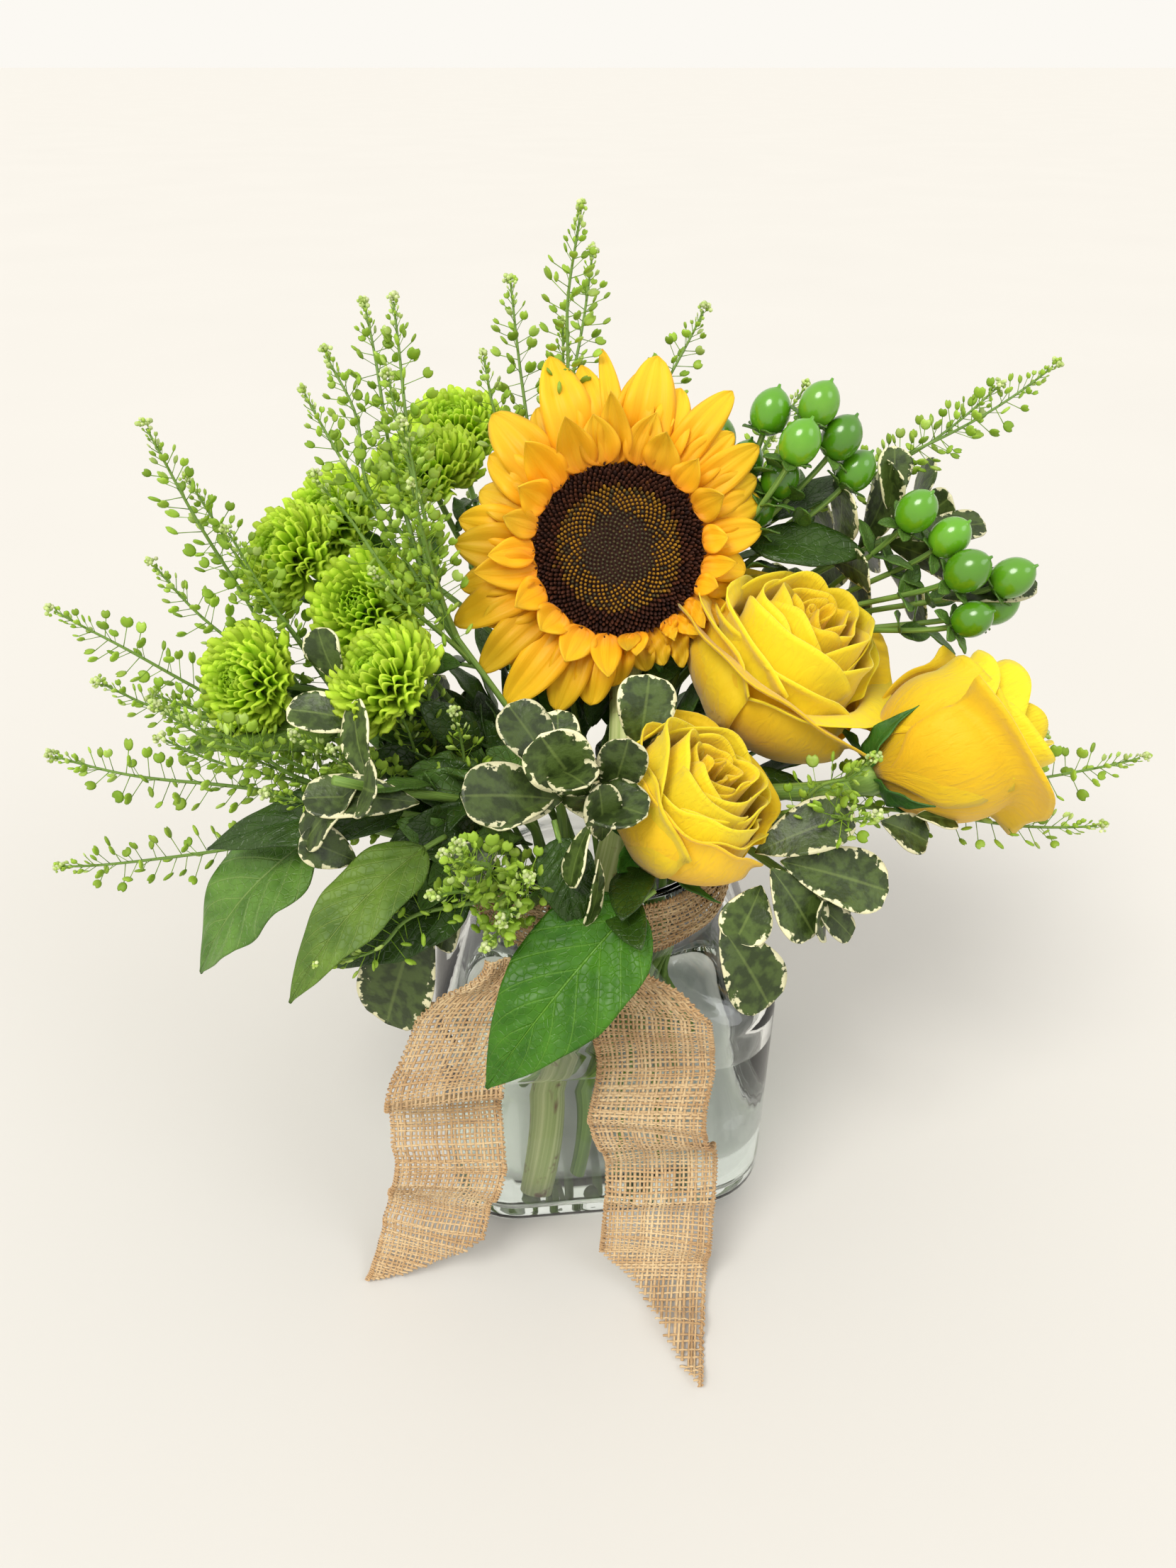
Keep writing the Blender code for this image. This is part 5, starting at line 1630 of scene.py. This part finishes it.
@dataclass
class HypericumSprig:
    """St John's wort in fruit: forked twigs, glossy pointed berries on five sepals, paired leaves."""

    name: str
    mouth: Mouth
    slot: Slot
    fork: tuple
    tips: tuple
    leaves: tuple = ()  # more leaves: base, tip, width, face heading and tilt
    twig: float = 1.6 * MM
    length: float = 14.5 * MM
    width: float = 12.8 * MM
    sepals: int = 5

    def build(self) -> None:
        """The sprig."""
        draw = np.random.default_rng(60 + len(self.tips))
        fork, trunk, onward = self.mouth.trunk(self.slot, self.fork)
        shape = Shape()
        shape.add(tube(trunk, self.twig, 10))
        skin = []
        for angle in np.linspace(-math.pi / 2, math.pi / 2, 17)[:-1]:
            height = math.sin(angle)
            skin.append((0.5 * math.cos(angle) ** 0.92, 0.5 * height + 0.04 * max(height, 0) ** 8))
        berry = lathe([*skin, (0.05, 0.55), (0.03, 0.62)], 28)
        for number, spot in enumerate(self.tips):
            tip = self.mouth.place(*spot)
            start = fork - onward * (2 + 3 * number) * MM
            reach = np.linalg.norm(tip - start)
            way = unit(tip - start)
            leave, arrive = unit(way + onward * 0.7), unit(way + vec(0, 0, 0.3))
            line = bend(start, leave * reach, tip, arrive * reach * 0.6, 14)
            shape.add(tube(line, self.twig * 0.62, 8))
            middle = tip + arrive * self.length * 0.4
            hint = np.cross(arrive, draw.standard_normal(3))
            size = np.array([[self.width, self.width, self.length]]) * draw.uniform(0.9, 1.06)
            ripeness = (draw.uniform(0.3, 0.75), draw.random(), 0)
            shape.stamp(berry, frames(middle, arrive, hint, size), ripeness, slot=1)
            across = unit(hint)
            for step in range(self.sepals):
                out = spoke(across, np.cross(arrive, across), TURN * step / self.sepals)
                root = tip - arrive * 1.0 * MM + out * 1.5 * MM
                end = root + unit(out + arrive * draw.uniform(-0.3, 0.5)) * draw.uniform(6.0, 8.5) * MM
                sepal = HYPERICUM.lay(root, end, arrive - out * 0.2, 4.8 * MM)
                shape.add(sepal, (draw.uniform(0.4, 1), 0.5, 0), slot=2)
            for side in (-1, 1):
                root = line[9]
                out = unit(np.cross(arrive, across)) * side
                end = root + unit(out + arrive * 0.5) * draw.uniform(12, 18) * MM
                leaf = HYPERICUM.lay(root, end, arrive - out * 0.3, 7 * MM)
                shape.add(leaf, (draw.uniform(0.2, 0.8), 0.5, 0), slot=2)
        for leaf in self.leaves:
            shape.add(self.mouth.leaf(HYPERICUM, leaf), GREEN_PART, slot=3)
        finishes = [STEM, BERRY, LeafTone.MID.value, LeafTone.DARK.value]
        shape.build(f"hypericum_sprig_{self.name}", finishes, "hypericum_berry", (f"hypericum_{self.name}",))


@dataclass
class PennycressSprig:
    """Field pennycress: arching racemes of flat round notched pods on hair-thin stalks, budded at the tip."""

    name: str
    mouth: Mouth
    slot: Slot
    fork: tuple
    tips: tuple
    extra: tuple = ()  # tips of side racemes that fill the spray
    dense: float = 1.3
    stem: float = 1.1 * MM
    stalk: float = 0.17 * MM
    longest: float = 78 * MM  # of a limb's part that bears pods
    full_grown: float = 24 * MM  # from the tip to the first full-sized pods
    buds: int = 24

    def raceme(self, shape: Shape, line: Array, draw: Draw) -> None:
        """Pods, stalks and the budded tip along one limb."""
        total = line_length(line)
        covered = min(total * 0.80, self.longest)
        steps, gone = [], 1.5 * MM
        while gone < covered:
            steps.append(gone)
            gone += (0.75 + 1.35 * min(gone / (30 * MM), 1)) * MM / self.dense
        back = np.array(steps)
        count = len(back)
        grown = ease(back, 0, self.full_grown)
        spots = along_line(line, total - back)
        way = unit(along_line(line, total - back + 1 * MM) - along_line(line, total - back - 1 * MM))
        base = np.eye(3)[np.argmin(np.abs(way.mean(axis=0)))]
        across = unit(np.cross(way, base))
        turn = np.arange(count) * GOLDEN_ANGLE + draw.uniform(0, 6)
        out = spoke(across, np.cross(way, across), turn)
        out = unit(out + 0.15 * draw.standard_normal((count, 3)))
        stalk = unit(spoke(way, out, np.radians(28 + 42 * grown)))
        reach = (1.6 + 5.4 * grown) * MM * draw.uniform(0.8, 1.2, count)
        hair = lathe([(1.0, 0.0), (0.75, 0.5), (0.9, 1.0)], 4)
        tone = beside(0.35 + 0.2 * draw.random(count), draw.random(count), grown)
        shape.stamp(hair, frames(spots, stalk, way, beside(self.stalk, self.stalk, reach)), tone)
        rise = unit(stalk + vec(0, 0, 0.55))
        size = (0.6 + 1.25 * grown) * MM * draw.uniform(0.8, 1.2, count)
        flat = np.cross(rise, out) + 0.6 * draw.standard_normal((count, 3))
        green = 0.45 + 0.35 * draw.random(count) + 0.15 * (1 - grown)
        colour = beside(green, draw.random(count), grown)
        places = frames(spots + stalk * reach[:, None], rise, flat, beside(size, size, size))
        shape.stamp(self.pod(), places, colour)
        self.add_buds(shape, line[-1], unit(line[-1] - line[-2]), draw)

    def add_buds(self, shape: Shape, end: Array, onward: Array, draw: Draw) -> None:
        """The knob of buds that crowns a limb."""
        count = self.buds
        ways = unit(draw.standard_normal((count, 3)) + onward * 1.2)
        bud = lathe([(0.4, -0.9), (1.0, -0.2), (0.9, 0.5), (0.3, 1.0)], 6)
        sizes = 0.62 * MM * draw.uniform(0.7, 1.3, (count, 1)) * np.ones((1, 3))
        pale = beside(draw.uniform(0.75, 1.0, count), draw.random(count), 0.0)
        spots = end + onward * 0.8 * MM + ways * draw.uniform(0.8, 2.3, (count, 1)) * MM
        shape.stamp(bud, frames(spots, ways, vec(0.3, 0.5, 0.1), sizes), pale)

    @staticmethod
    def pod() -> Patch:
        """A flat disc with a swollen middle and a notch in its far edge, one across and two long."""
        angle = np.linspace(0, TURN, 12, endpoint=False)
        from_top = (angle - math.pi / 2 + math.pi) % (TURN) - math.pi
        radius = 1 - 0.42 * np.exp(-((from_top / 0.32) ** 2))
        flat = beside(np.cos(angle) * radius, np.zeros(12), 1 + np.sin(angle) * radius * 1.08)
        middle = vec(0, 0, 1)
        rings = []
        for share, depth in ((0.25, -0.30), (0.72, -0.22), (1.0, 0.0), (0.72, 0.22), (0.25, 0.30)):
            rings.append(middle + (flat - middle) * share + vec(0, depth, 0))
        return grid(np.array(rings)[:, ::-1], closed=True, capped=True)

    def build(self) -> None:
        """The sprig with all its racemes."""
        draw = np.random.default_rng(sum(map(ord, self.name)))
        fork, trunk, onward = self.mouth.trunk(self.slot, self.fork)
        shape = Shape()
        shape.add(tube(trunk, self.stem, 8), slot=1)
        for number, spot in enumerate((*self.tips, *self.extra)):
            tip = self.mouth.place(*spot)
            start = fork - onward * 5 * MM * (number if number < len(self.tips) else 0.6 * number)
            reach = np.linalg.norm(tip - start)
            way = unit(tip - start)
            leave, arrive = unit(way + onward * 0.6), unit(way + vec(0, 0, 0.2))
            line = bend(start, leave * reach, tip, arrive * reach, 30)
            count = len(line)
            wander = np.sin(np.linspace(0, math.pi, count))[:, None] * draw.standard_normal(3) * 1.5 * MM
            line = line + wander * np.sin(np.linspace(0, 9, count))[:, None]
            shape.add(tube(line, self.stem * np.linspace(0.85, 0.34, count), 7), slot=1)
            self.raceme(shape, line, draw)
        node = f"pennycress_{self.name}"
        shape.build(f"pennycress_spray_{self.name}", [POD, STEM], "pennycress_pod", (node,))


# ---- leaves


@dataclass
class SalalLeaf:
    """One broad salal leaf on its short stalk."""

    name: str
    mouth: Mouth
    base: tuple
    tip: tuple
    width: float
    heading: float
    tilt: float
    tone: LeafTone
    droop: float = 0.0
    stalk: float = 0.9 * MM

    def build(self) -> None:
        """The blade and its stalk."""
        root, end = self.mouth.place(*self.base), self.mouth.place(*self.tip)
        face = towards(self.heading, self.tilt)
        habit = replace(SALAL, droop=self.droop)
        shape = Shape()
        seed = sum(map(ord, self.name))
        shape.add(habit.lay(root, end, face, self.width, seed), (0.5 + 0.3 * math.sin(seed), 0.5, 0.0))
        back = root - unit(end - root) * 9 * MM - vec(0, 0, 4 * MM)
        stalk = bend(back, (root - back) * 0.6, root + (end - root) * 0.05, (end - root) * 0.1, 6)
        shape.add(tube(stalk, self.stalk, 8), slot=1)
        node = f"salal_leaf_{self.name}"
        shape.build(f"salal_{self.name}", [self.tone.value, STEM], "salal_leaf", (node,))


@dataclass
class SalalStem:
    """A thin woody stem that the salal leaves stand off."""

    name: str
    mouth: Mouth
    slot: Slot
    spots: tuple

    def build(self) -> None:
        """The stem."""
        points = [self.mouth.place(*spot) for spot in self.spots]
        line = self.mouth.rise(self.slot, points[0], unit(points[-1] - points[0]))
        shape = Shape()
        shape.add(tube(np.concatenate([line, points[-1][None]]), 1.8 * MM, 10))
        shape.build(f"salal_twig_{self.name}", [STEM], "green_stem", (f"salal_stem_{self.name}",))


@dataclass
class PittosporumSpray:
    """A pittosporum twig: whorls of rounded leaves with cream margins round its end."""

    name: str
    mouth: Mouth
    slot: Slot
    end: tuple
    facing: tuple
    turn: float
    # Whorls: how many leaves, metres ahead of the twig's end, length in millimetres, and rise
    whorls: tuple = ((5, 0.0, 34, 0.35), (4, 0.010, 30, 0.75), (5, -0.012, 31, -0.05))
    leaves: tuple = ()  # given one by one: base, tip, width, face heading and tilt

    def build(self) -> None:
        """The twig and its leaves."""
        draw = np.random.default_rng(sum(map(ord, self.name)) + 7)
        end, arrive = self.mouth.place(*self.end), towards(*self.facing)
        line = self.mouth.rise(self.slot, end, arrive)
        shape = Shape()
        shape.add(tube(np.concatenate([line, (end + arrive * 8 * MM)[None]]), 1.5 * MM, 9), slot=1)
        around = unit(np.cross(arrive, vec(0.2, 0.1, 1)))
        third = np.cross(arrive, around)
        for whorl, (count, ahead, length, rise) in enumerate(self.whorls):
            for number in range(count):
                angle = math.radians(self.turn + 360 * (number + 0.5 * whorl) / count)
                out = spoke(around, third, angle + 0.15 * draw.standard_normal())
                root = end + arrive * (ahead - 2.4 * MM * number)
                way = unit(out + arrive * (rise + 0.12 * draw.standard_normal()))
                tip = root + way * length * MM * draw.uniform(0.88, 1.08)
                width = draw.uniform(13.5, 17.5) * MM
                blade = PITTOSPORUM.lay(root, tip, arrive - out * rise, width, draw.uniform(0, 6))
                shape.add(blade, (draw.random(), 0.5, 0.0))
        for leaf in self.leaves:
            blade = self.mouth.leaf(PITTOSPORUM, leaf, draw.uniform(0, 6))
            shape.add(blade, (draw.random(), 0.5, 0.0))
        node = f"pittosporum_{self.name}"
        shape.build(f"pittosporum_spray_{self.name}", [VARIEGATED, STEM], "variegated_leaf", (node,))


@dataclass
class Understory:
    """Small dark leaves and stems between the flowers, which close the bouquet's middle."""

    mouth: Mouth
    leaves: int = 150
    zones: tuple = (  # leaves of one zone: how many, headings, millimetres out past the neck, and up
        (44, (-112, -42), (-14, 12), (8, 40)), (40, (-175, -85), (-30, 2), (40, 86)),
        (30, (80, 175), (-28, 12), (28, 84)),
    )
    low: float = 24 * MM  # how high past the rim the leaves reach at the front
    high: float = 38 * MM  # past this height they stand only behind the sunflower
    behind: float = 34 * MM
    seed: int = 77

    def build(self) -> None:
        """Leaves that fan up and out of the mouth, none of them past the flowers."""
        draw = np.random.default_rng(self.seed)
        shape = Shape()
        for number in range(self.leaves):
            heading = math.degrees(number * GOLDEN_ANGLE)
            lift = draw.uniform(0.02, 0.98)
            out = draw.uniform(-34, 8) * MM + 0.012 * lift
            root = self.mouth.place(out, heading, (6 + 62 * lift * draw.random()) * MM)
            way = unit(towards(heading, 15 + 60 * draw.random()) + 0.3 * draw.standard_normal(3))
            tip = root + way * draw.uniform(20, 34) * MM
            face = unit(vec(0, 0, 1) + 0.5 * towards(heading, 0) + 0.4 * draw.standard_normal(3))
            ahead = (heading + 180) % 360 - 180
            if -50 < ahead < 95 and tip[2] > self.mouth.rim + self.low:
                continue
            blade = HYPERICUM.lay(root, tip, face, draw.uniform(9, 14) * MM, draw.uniform(0, 6))
            shape.add(blade, (draw.random() * 0.7, 0.5, 0.0), slot=number % 2)
        for count, headings, outs, ups in self.zones:
            for number in range(count):
                heading = draw.uniform(*headings)
                root = self.mouth.place(draw.uniform(*outs) * MM, heading, draw.uniform(*ups) * MM)
                way = unit(towards(heading, draw.uniform(5, 55)) + 0.35 * draw.standard_normal(3))
                face = unit(vec(0, -0.7, 1) + 0.4 * draw.standard_normal(3))
                tip = root + way * draw.uniform(22, 34) * MM
                high = max(root[2], tip[2]) > self.mouth.rim + self.high
                if high and min(root[1], tip[1]) < self.behind:
                    continue
                blade = MUM_LEAF.lay(root, tip, face, draw.uniform(11, 16) * MM, 6 * draw.random())
                shape.add(blade, (draw.random() * 0.8, 0.5, 0.0), slot=number % 2)
        shape.build("understory_leaves", [LeafTone.DARK.value, LeafTone.MID.value], "salal_leaf")


# ---- studio


@dataclass
class Studio:
    """A pale floor, soft lamps and the camera."""

    eye: tuple = (-0.003, -0.322, 0.365)
    pitch: float = 33.0  # degrees below level
    lens: float = 26.0
    sensor: float = 36.0
    spread: float = 28.0  # degrees that each lamp takes up in the sky, for soft shadows
    reach: float = 30.0  # metres from the middle of the floor to its sides
    sky: str = "#FCF9F3"
    # Each lamp: its name, heading, height above level, strength and colour
    lamps: tuple = (
        ("window_light", -38, 54, 2.10, "#FFFCF6"),
        ("fill_light", 60, 40, 0.45, "#F8FAFF"),
    )

    def lamp(self, name: str, heading: float, height: float, strength: float, colour: str) -> None:
        """A very wide far lamp that lights the floor evenly and shades softly."""
        light = bpy.data.lights.new(name, "SUN")
        light.angle = math.radians(self.spread)
        light.energy = strength
        light.color = linear(colour)[:3]
        aim = -Vector(towards(heading, height))
        stand(name, light).rotation_euler = aim.to_track_quat("-Z", "Y").to_euler()

    def floor(self) -> None:
        """A level seamless floor that reaches far past the view."""
        mesh = bpy.data.meshes.new("stage_floor")
        corners = [(x * self.reach, y * self.reach, 0) for x, y in ((-1, -1), (1, -1), (1, 1), (-1, 1))]
        mesh.from_pydata(corners, [], [(0, 1, 2, 3)])
        mesh.materials.append(FLOOR.material())
        stand("stage_floor", mesh)

    def build(self) -> None:
        """The floor, the lamps, the sky light and the camera."""
        self.floor()
        scene = bpy.context.scene
        scene.world = bpy.data.worlds.new("soft_sky")
        scene.world.use_nodes = True
        sky = scene.world.node_tree.nodes["Background"].inputs
        sky["Color"].default_value = linear(self.sky)
        sky["Strength"].default_value = 1.0
        for lamp in self.lamps:
            self.lamp(*lamp)
        camera = bpy.data.cameras.new("camera")
        camera.lens = self.lens
        camera.sensor_width = self.sensor
        camera.clip_start = 10 * MM
        scene.camera = stand("camera", camera)
        scene.camera.location = self.eye
        scene.camera.rotation_euler = (math.radians(90 - self.pitch), 0, 0)
        scene.view_settings.view_transform = "Standard"


# ---- the bouquet


def roses(mouth: Mouth) -> list[Rose]:
    """The three roses."""
    return [
        Rose("upper", mouth, (0.01, 112, 0.028), (0.03, 98, 0.078), 0.032, Slot(0.56, 88), Bloom.OPEN, 31),
        Rose(
            "front", mouth, (-0.013, 32, 0.011), (0.01, 46, 0.048), 0.026, Slot(0.84, 50), Bloom.HALF, 32,
            lift=-0.036,
        ),
        Rose("right", mouth, (0.046, 80, 0.03), (0.094, 86, 0.052), 0.0255, Slot(0.84, 84), Bloom.BUD, 33),
    ]


def mums(mouth: Mouth) -> tuple[list[ButtonMum], list[MumStem]]:
    """The seven mums and their two stems."""
    facings = ((-60, 38), (-50, 45), (-25, 42), (-68, 50), (-45, 25), (-60, 74), (-30, 74))
    heads = {number: ButtonMum(number, *facing) for number, facing in enumerate(facings, start=1)}
    left = MumStem("left", mouth, Slot(0.56, -95), (0.008, -116, 0.03), [heads[n] for n in (1, 3, 4, 5)])
    back = MumStem("back", mouth, Slot(0.56, -140), (0.0, -145, 0.04), [heads[n] for n in (2, 6, 7)])
    return list(heads.values()), [left, back]


def hypericum(mouth: Mouth) -> list[HypericumSprig]:
    """The two sprigs of berries."""
    upper = (
        (0.029, 132, 0.121), (0.037, 123, 0.125), (0.043, 120, 0.115), (0.026, 119, 0.116),
        (0.049, 119, 0.104), (0.027, 126, 0.102), (0.023, 135, 0.105), (0.025, 131, 0.091),
        (0.024, 145, 0.11),
    )
    right = (
        (0.06, 107, 0.096), (0.069, 104, 0.089), (0.07, 98, 0.083), (0.085, 98, 0.08),
        (0.072, 96, 0.069), (0.085, 101, 0.068),
    )
    blades = (
        ((0.02, 128, 0.086), (0.052, 112, 0.084), 0.017, 20, 50),
        ((0.03, 128, 0.092), (0.064, 122, 0.104), 0.012, 90, 60),
    )
    return [
        HypericumSprig("upper", mouth, Slot(0.56, 125), (0.012, 140, 0.072), upper, blades),
        HypericumSprig("right", mouth, Slot(0.56, 106), (0.045, 126, 0.054), right),
    ]


def pennycress(mouth: Mouth) -> list[PennycressSprig]:
    """The nine sprays of pennycress."""
    return [
        PennycressSprig(
            "crown", mouth, Slot(0.28, -170), (0.004, -158, 0.075),
            ((0.016, -175, 0.184), (0.046, -179, 0.168), (0.044, -161, 0.16), (0.053, 158, 0.15)),
            ((0.02, -170, 0.15), (0.03, -150, 0.14)),
        ),
        PennycressSprig(
            "upper_left", mouth, Slot(0.3, -110), (0.01, -102, 0.078),
            ((0.059, -133, 0.155), (0.044, -133, 0.158), (0.056, -121, 0.144), (0.05, -109, 0.137)),
            (
                (0.018, -110, 0.13), (0.01, -90, 0.118), (0.03, -120, 0.14), (0.04, -96, 0.118),
                (0.022, -80, 0.096),
            ),
        ),
        PennycressSprig(
            "left", mouth, Slot(0.83, -104), (0.038, -100, 0.018),
            ((0.092, -98, 0.13), (0.104, -101, 0.083), (0.13, -94, 0.074)),
            (
                (0.098, -90, 0.05), (0.11, -86, 0.06), (0.07, -96, 0.1), (0.09, -104, 0.11),
                (0.104, -94, 0.042),
            ),
        ),
        PennycressSprig(
            "lower_left", mouth, Slot(0.84, -72), (0.022, -84, 0.01),
            ((0.128, -84, 0.038), (0.087, -70, 0.07), (0.131, -80, 0.004)),
            (
                (0.08, -74, 0.06), (0.09, -78, 0.05), (0.024, -107, 0.071), (0.01, -90, 0.063),
                (0.02, -81, 0.051), (0.041, -69, 0.047), (0.071, -80, 0.041), (0.051, -72, 0.052),
                (0.004, -66, 0.054), (0.062, -68, 0.038),
            ),
        ),
        PennycressSprig(
            "front", mouth, Slot(0.84, -32), (0.012, -30, 0.012),
            ((0.046, -24, 0.05), (0.042, -18, 0.024), (0.066, -46, 0.004)),
            ((0.04, -30, 0.04), (0.036, -14, 0.036), (0.046, -30, 0.03), (0.04, -22, 0.012)),
            dense=1.4,
        ),
        PennycressSprig(
            "upper_right", mouth, Slot(0.56, 145), (0.014, 158, 0.055),
            ((0.124, 115, 0.136), (0.066, 139, 0.126), (0.112, 119, 0.128)), (),
        ),
        PennycressSprig(
            "right", mouth, Slot(0.84, 106), (0.03, 97, 0.004),
            ((0.134, 88, 0.03), (0.116, 79, 0.02), (0.114, 98, 0.022)), ((0.1, 90, 0.034),),
        ),
        PennycressSprig(
            "front_right", mouth, Slot(0.6, 60), (0.02, 68, 0.02),
            ((0.054, 52, 0.044), (0.046, 62, 0.052)), (),
        ),
        PennycressSprig(
            "back", mouth, Slot(0.84, 172), (0.016, 172, 0.018),
            ((0.09, 150, 0.098), (0.096, 176, 0.084), (0.088, -158, 0.074)),
            ((0.06, 165, 0.11), (0.06, -170, 0.1), (0.05, 150, 0.1)),
        ),
    ]


def salal(mouth: Mouth) -> tuple[list[SalalStem], list[SalalLeaf]]:
    """The salal stems and leaves."""
    stems = [
        SalalStem("left", mouth, Slot(0.84, -50), ((0.012, -52, 0.014), (0.04, -66, 0.024))),
        SalalStem("front", mouth, Slot(0.84, -14), ((0.004, -10, 0.01), (0.01, 0, 0.012))),
        SalalStem("back", mouth, Slot(0.84, -176), ((0.012, -170, 0.012), (0.044, -150, 0.03))),
    ]
    tones = LeafTone
    rows = (
        ("front_large", (0.015, 11, 0.011), (0.053, -21, -0.033), 0.037, -14, 42, tones.BRIGHT, 0.1),
        ("front_small", (0.011, -12, 0.032), (0.02, -6, 0.006), 0.018, 10, 20, tones.DARK, 0.0),
        ("left_large", (0.05, -70, 0.018), (0.096, -69, -0.022), 0.04, -50, 50, tones.MID, 0.08),
        ("left_olive", (0.028, -46, 0.026), (0.08, -47, -0.001), 0.024, -20, 60, tones.OLIVE, 0.12),
        ("left_long", (0.026, -58, 0.03), (0.084, -73, 0.018), 0.022, -40, 60, tones.DARK, 0.05),
        ("left_dark", (0.02, -38, 0.008), (0.062, -56, -0.012), 0.026, -40, 40, tones.DARK, 0.05),
        ("left_upper", (0.04, -85, 0.04), (0.092, -88, 0.034), 0.026, -60, 70, tones.OLIVE, 0.05),
        ("back_left", (0.047, -145, 0.024), (0.098, -132, 0.004), 0.036, -150, 50, tones.DARK, 0.05),
        ("back_low", (0.014, -162, 0.008), (0.064, -172, -0.036), 0.034, 176, 45, tones.MID, 0.05),
        ("back_right", (0.012, 158, 0.01), (0.064, 156, -0.03), 0.034, 150, 50, tones.DARK, 0.05),
    )
    leaves = [
        SalalLeaf(name, mouth, base, tip, width, heading, tilt, tone, droop)
        for name, base, tip, width, heading, tilt, tone, droop in rows
    ]
    return stems, leaves


def pittosporum(mouth: Mouth) -> list[PittosporumSpray]:
    """The six pittosporum sprays."""
    return [
        PittosporumSpray(
            "front", mouth, Slot(0.58, -30), (-0.001, -16, 0.04), (-14, 70), 66,
            whorls=((3, 0.0, 29, 0.35), (2, 0.01, 24, 0.75)),
            leaves=(
                ((0.003, -13, 0.04), (0.024, -35, 0.048), 0.02, -10, 50),
                ((0.002, -4, 0.042), (0.009, -18, 0.065), 0.02, -20, 40),
                ((-0.002, 5, 0.039), (0.001, 11, 0.06), 0.015, 10, 35),
                ((-0.019, 30, 0.042), (-0.025, 57, 0.063), 0.019, 10, 30),
                ((0.008, 1, 0.03), (0.012, 0, 0.052), 0.012, 20, 40),
                ((0.012, -2, 0.039), (0.021, -7, 0.022), 0.01, -60, 20),
                ((0.016, 0, 0.029), (0.022, -3, 0.009), 0.008, 60, 15),
            ),
        ),
        PittosporumSpray(
            "front_right", mouth, Slot(0.84, 67), (0.036, 62, 0.0), (60, 10), 20,
            whorls=((3, 0.0, 22, 0.35),),
            leaves=(
                ((0.024, 48, 0.008), (0.026, 37, -0.006), 0.017, 10, 35),
                ((0.026, 49, 0.015), (0.042, 51, -0.005), 0.018, 20, 40),
                ((0.027, 52, 0.016), (0.057, 63, 0.006), 0.02, 15, 45),
                ((0.038, 54, 0.004), (0.05, 58, -0.009), 0.01, 30, 40),
                ((0.02, 49, 0.018), (0.043, 63, 0.031), 0.017, 0, 55),
                ((0.05, 69, 0.024), (0.065, 72, 0.016), 0.013, 20, 50),
                ((0.06, 72, 0.025), (0.073, 75, 0.021), 0.008, 10, 70),
                ((0.022, 35, -0.001), (0.038, 41, -0.027), 0.021, 20, 30),
            ),
        ),
        PittosporumSpray(
            "front_left", mouth, Slot(0.58, -58), (0.04, -56, 0.046), (-60, 30), 75,
            whorls=((3, 0.0, 26, 0.35),),
            leaves=(
                ((0.028, -46, 0.008), (0.044, -51, -0.041), 0.025, -10, 30),
                ((0.023, -39, 0.008), (0.03, -41, -0.009), 0.011, -30, 30),
                ((0.025, -50, 0.038), (0.055, -60, 0.043), 0.015, -20, 60),
                ((0.027, -72, 0.051), (0.053, -78, 0.056), 0.014, -20, 60),
                ((0.037, -84, 0.06), (0.042, -87, 0.076), 0.014, -40, 40),
                ((0.044, -55, 0.021), (0.058, -59, 0.031), 0.013, -20, 50),
                ((0.014, -31, 0.027), (0.026, -37, 0.019), 0.014, -10, 40),
            ),
        ),
        PittosporumSpray(
            "upper_right", mouth, Slot(0.84, 150), (0.072, 120, 0.08), (110, 10), 0,
            leaves=(
                ((0.063, 115, 0.096), (0.067, 118, 0.115), 0.014, 30, 35),
                ((0.071, 101, 0.074), (0.101, 99, 0.079), 0.014, 20, 60),
                ((0.069, 111, 0.087), (0.094, 109, 0.091), 0.013, 30, 60),
            ),
        ),
        PittosporumSpray("back_right", mouth, Slot(0.84, 132), (0.054, 138, 0.036), (140, -5), 40),
        PittosporumSpray("back_left", mouth, Slot(0.84, -140), (0.04, -124, 0.0), (-124, -5), 15),
    ]


def main() -> None:
    """Build the bouquet, then the studio round it."""
    logging.basicConfig(level=logging.INFO, format="%(message)s")
    jar = GlassJar()
    mouth = Mouth.measured(jar)
    jar.build()
    JarWater(jar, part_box("jar_water")[1].z).build()
    BurlapRibbon().build()
    Sunflower(mouth).build()
    heads, branches = mums(mouth)
    stems, leaves = salal(mouth)
    pieces = [*roses(mouth), *heads, *branches, *hypericum(mouth), *pennycress(mouth)]
    pieces += [*stems, *leaves, *pittosporum(mouth), Understory(mouth)]
    for piece in pieces:
        piece.build()
    Studio().build()


if __name__ == "__main__":
    main()
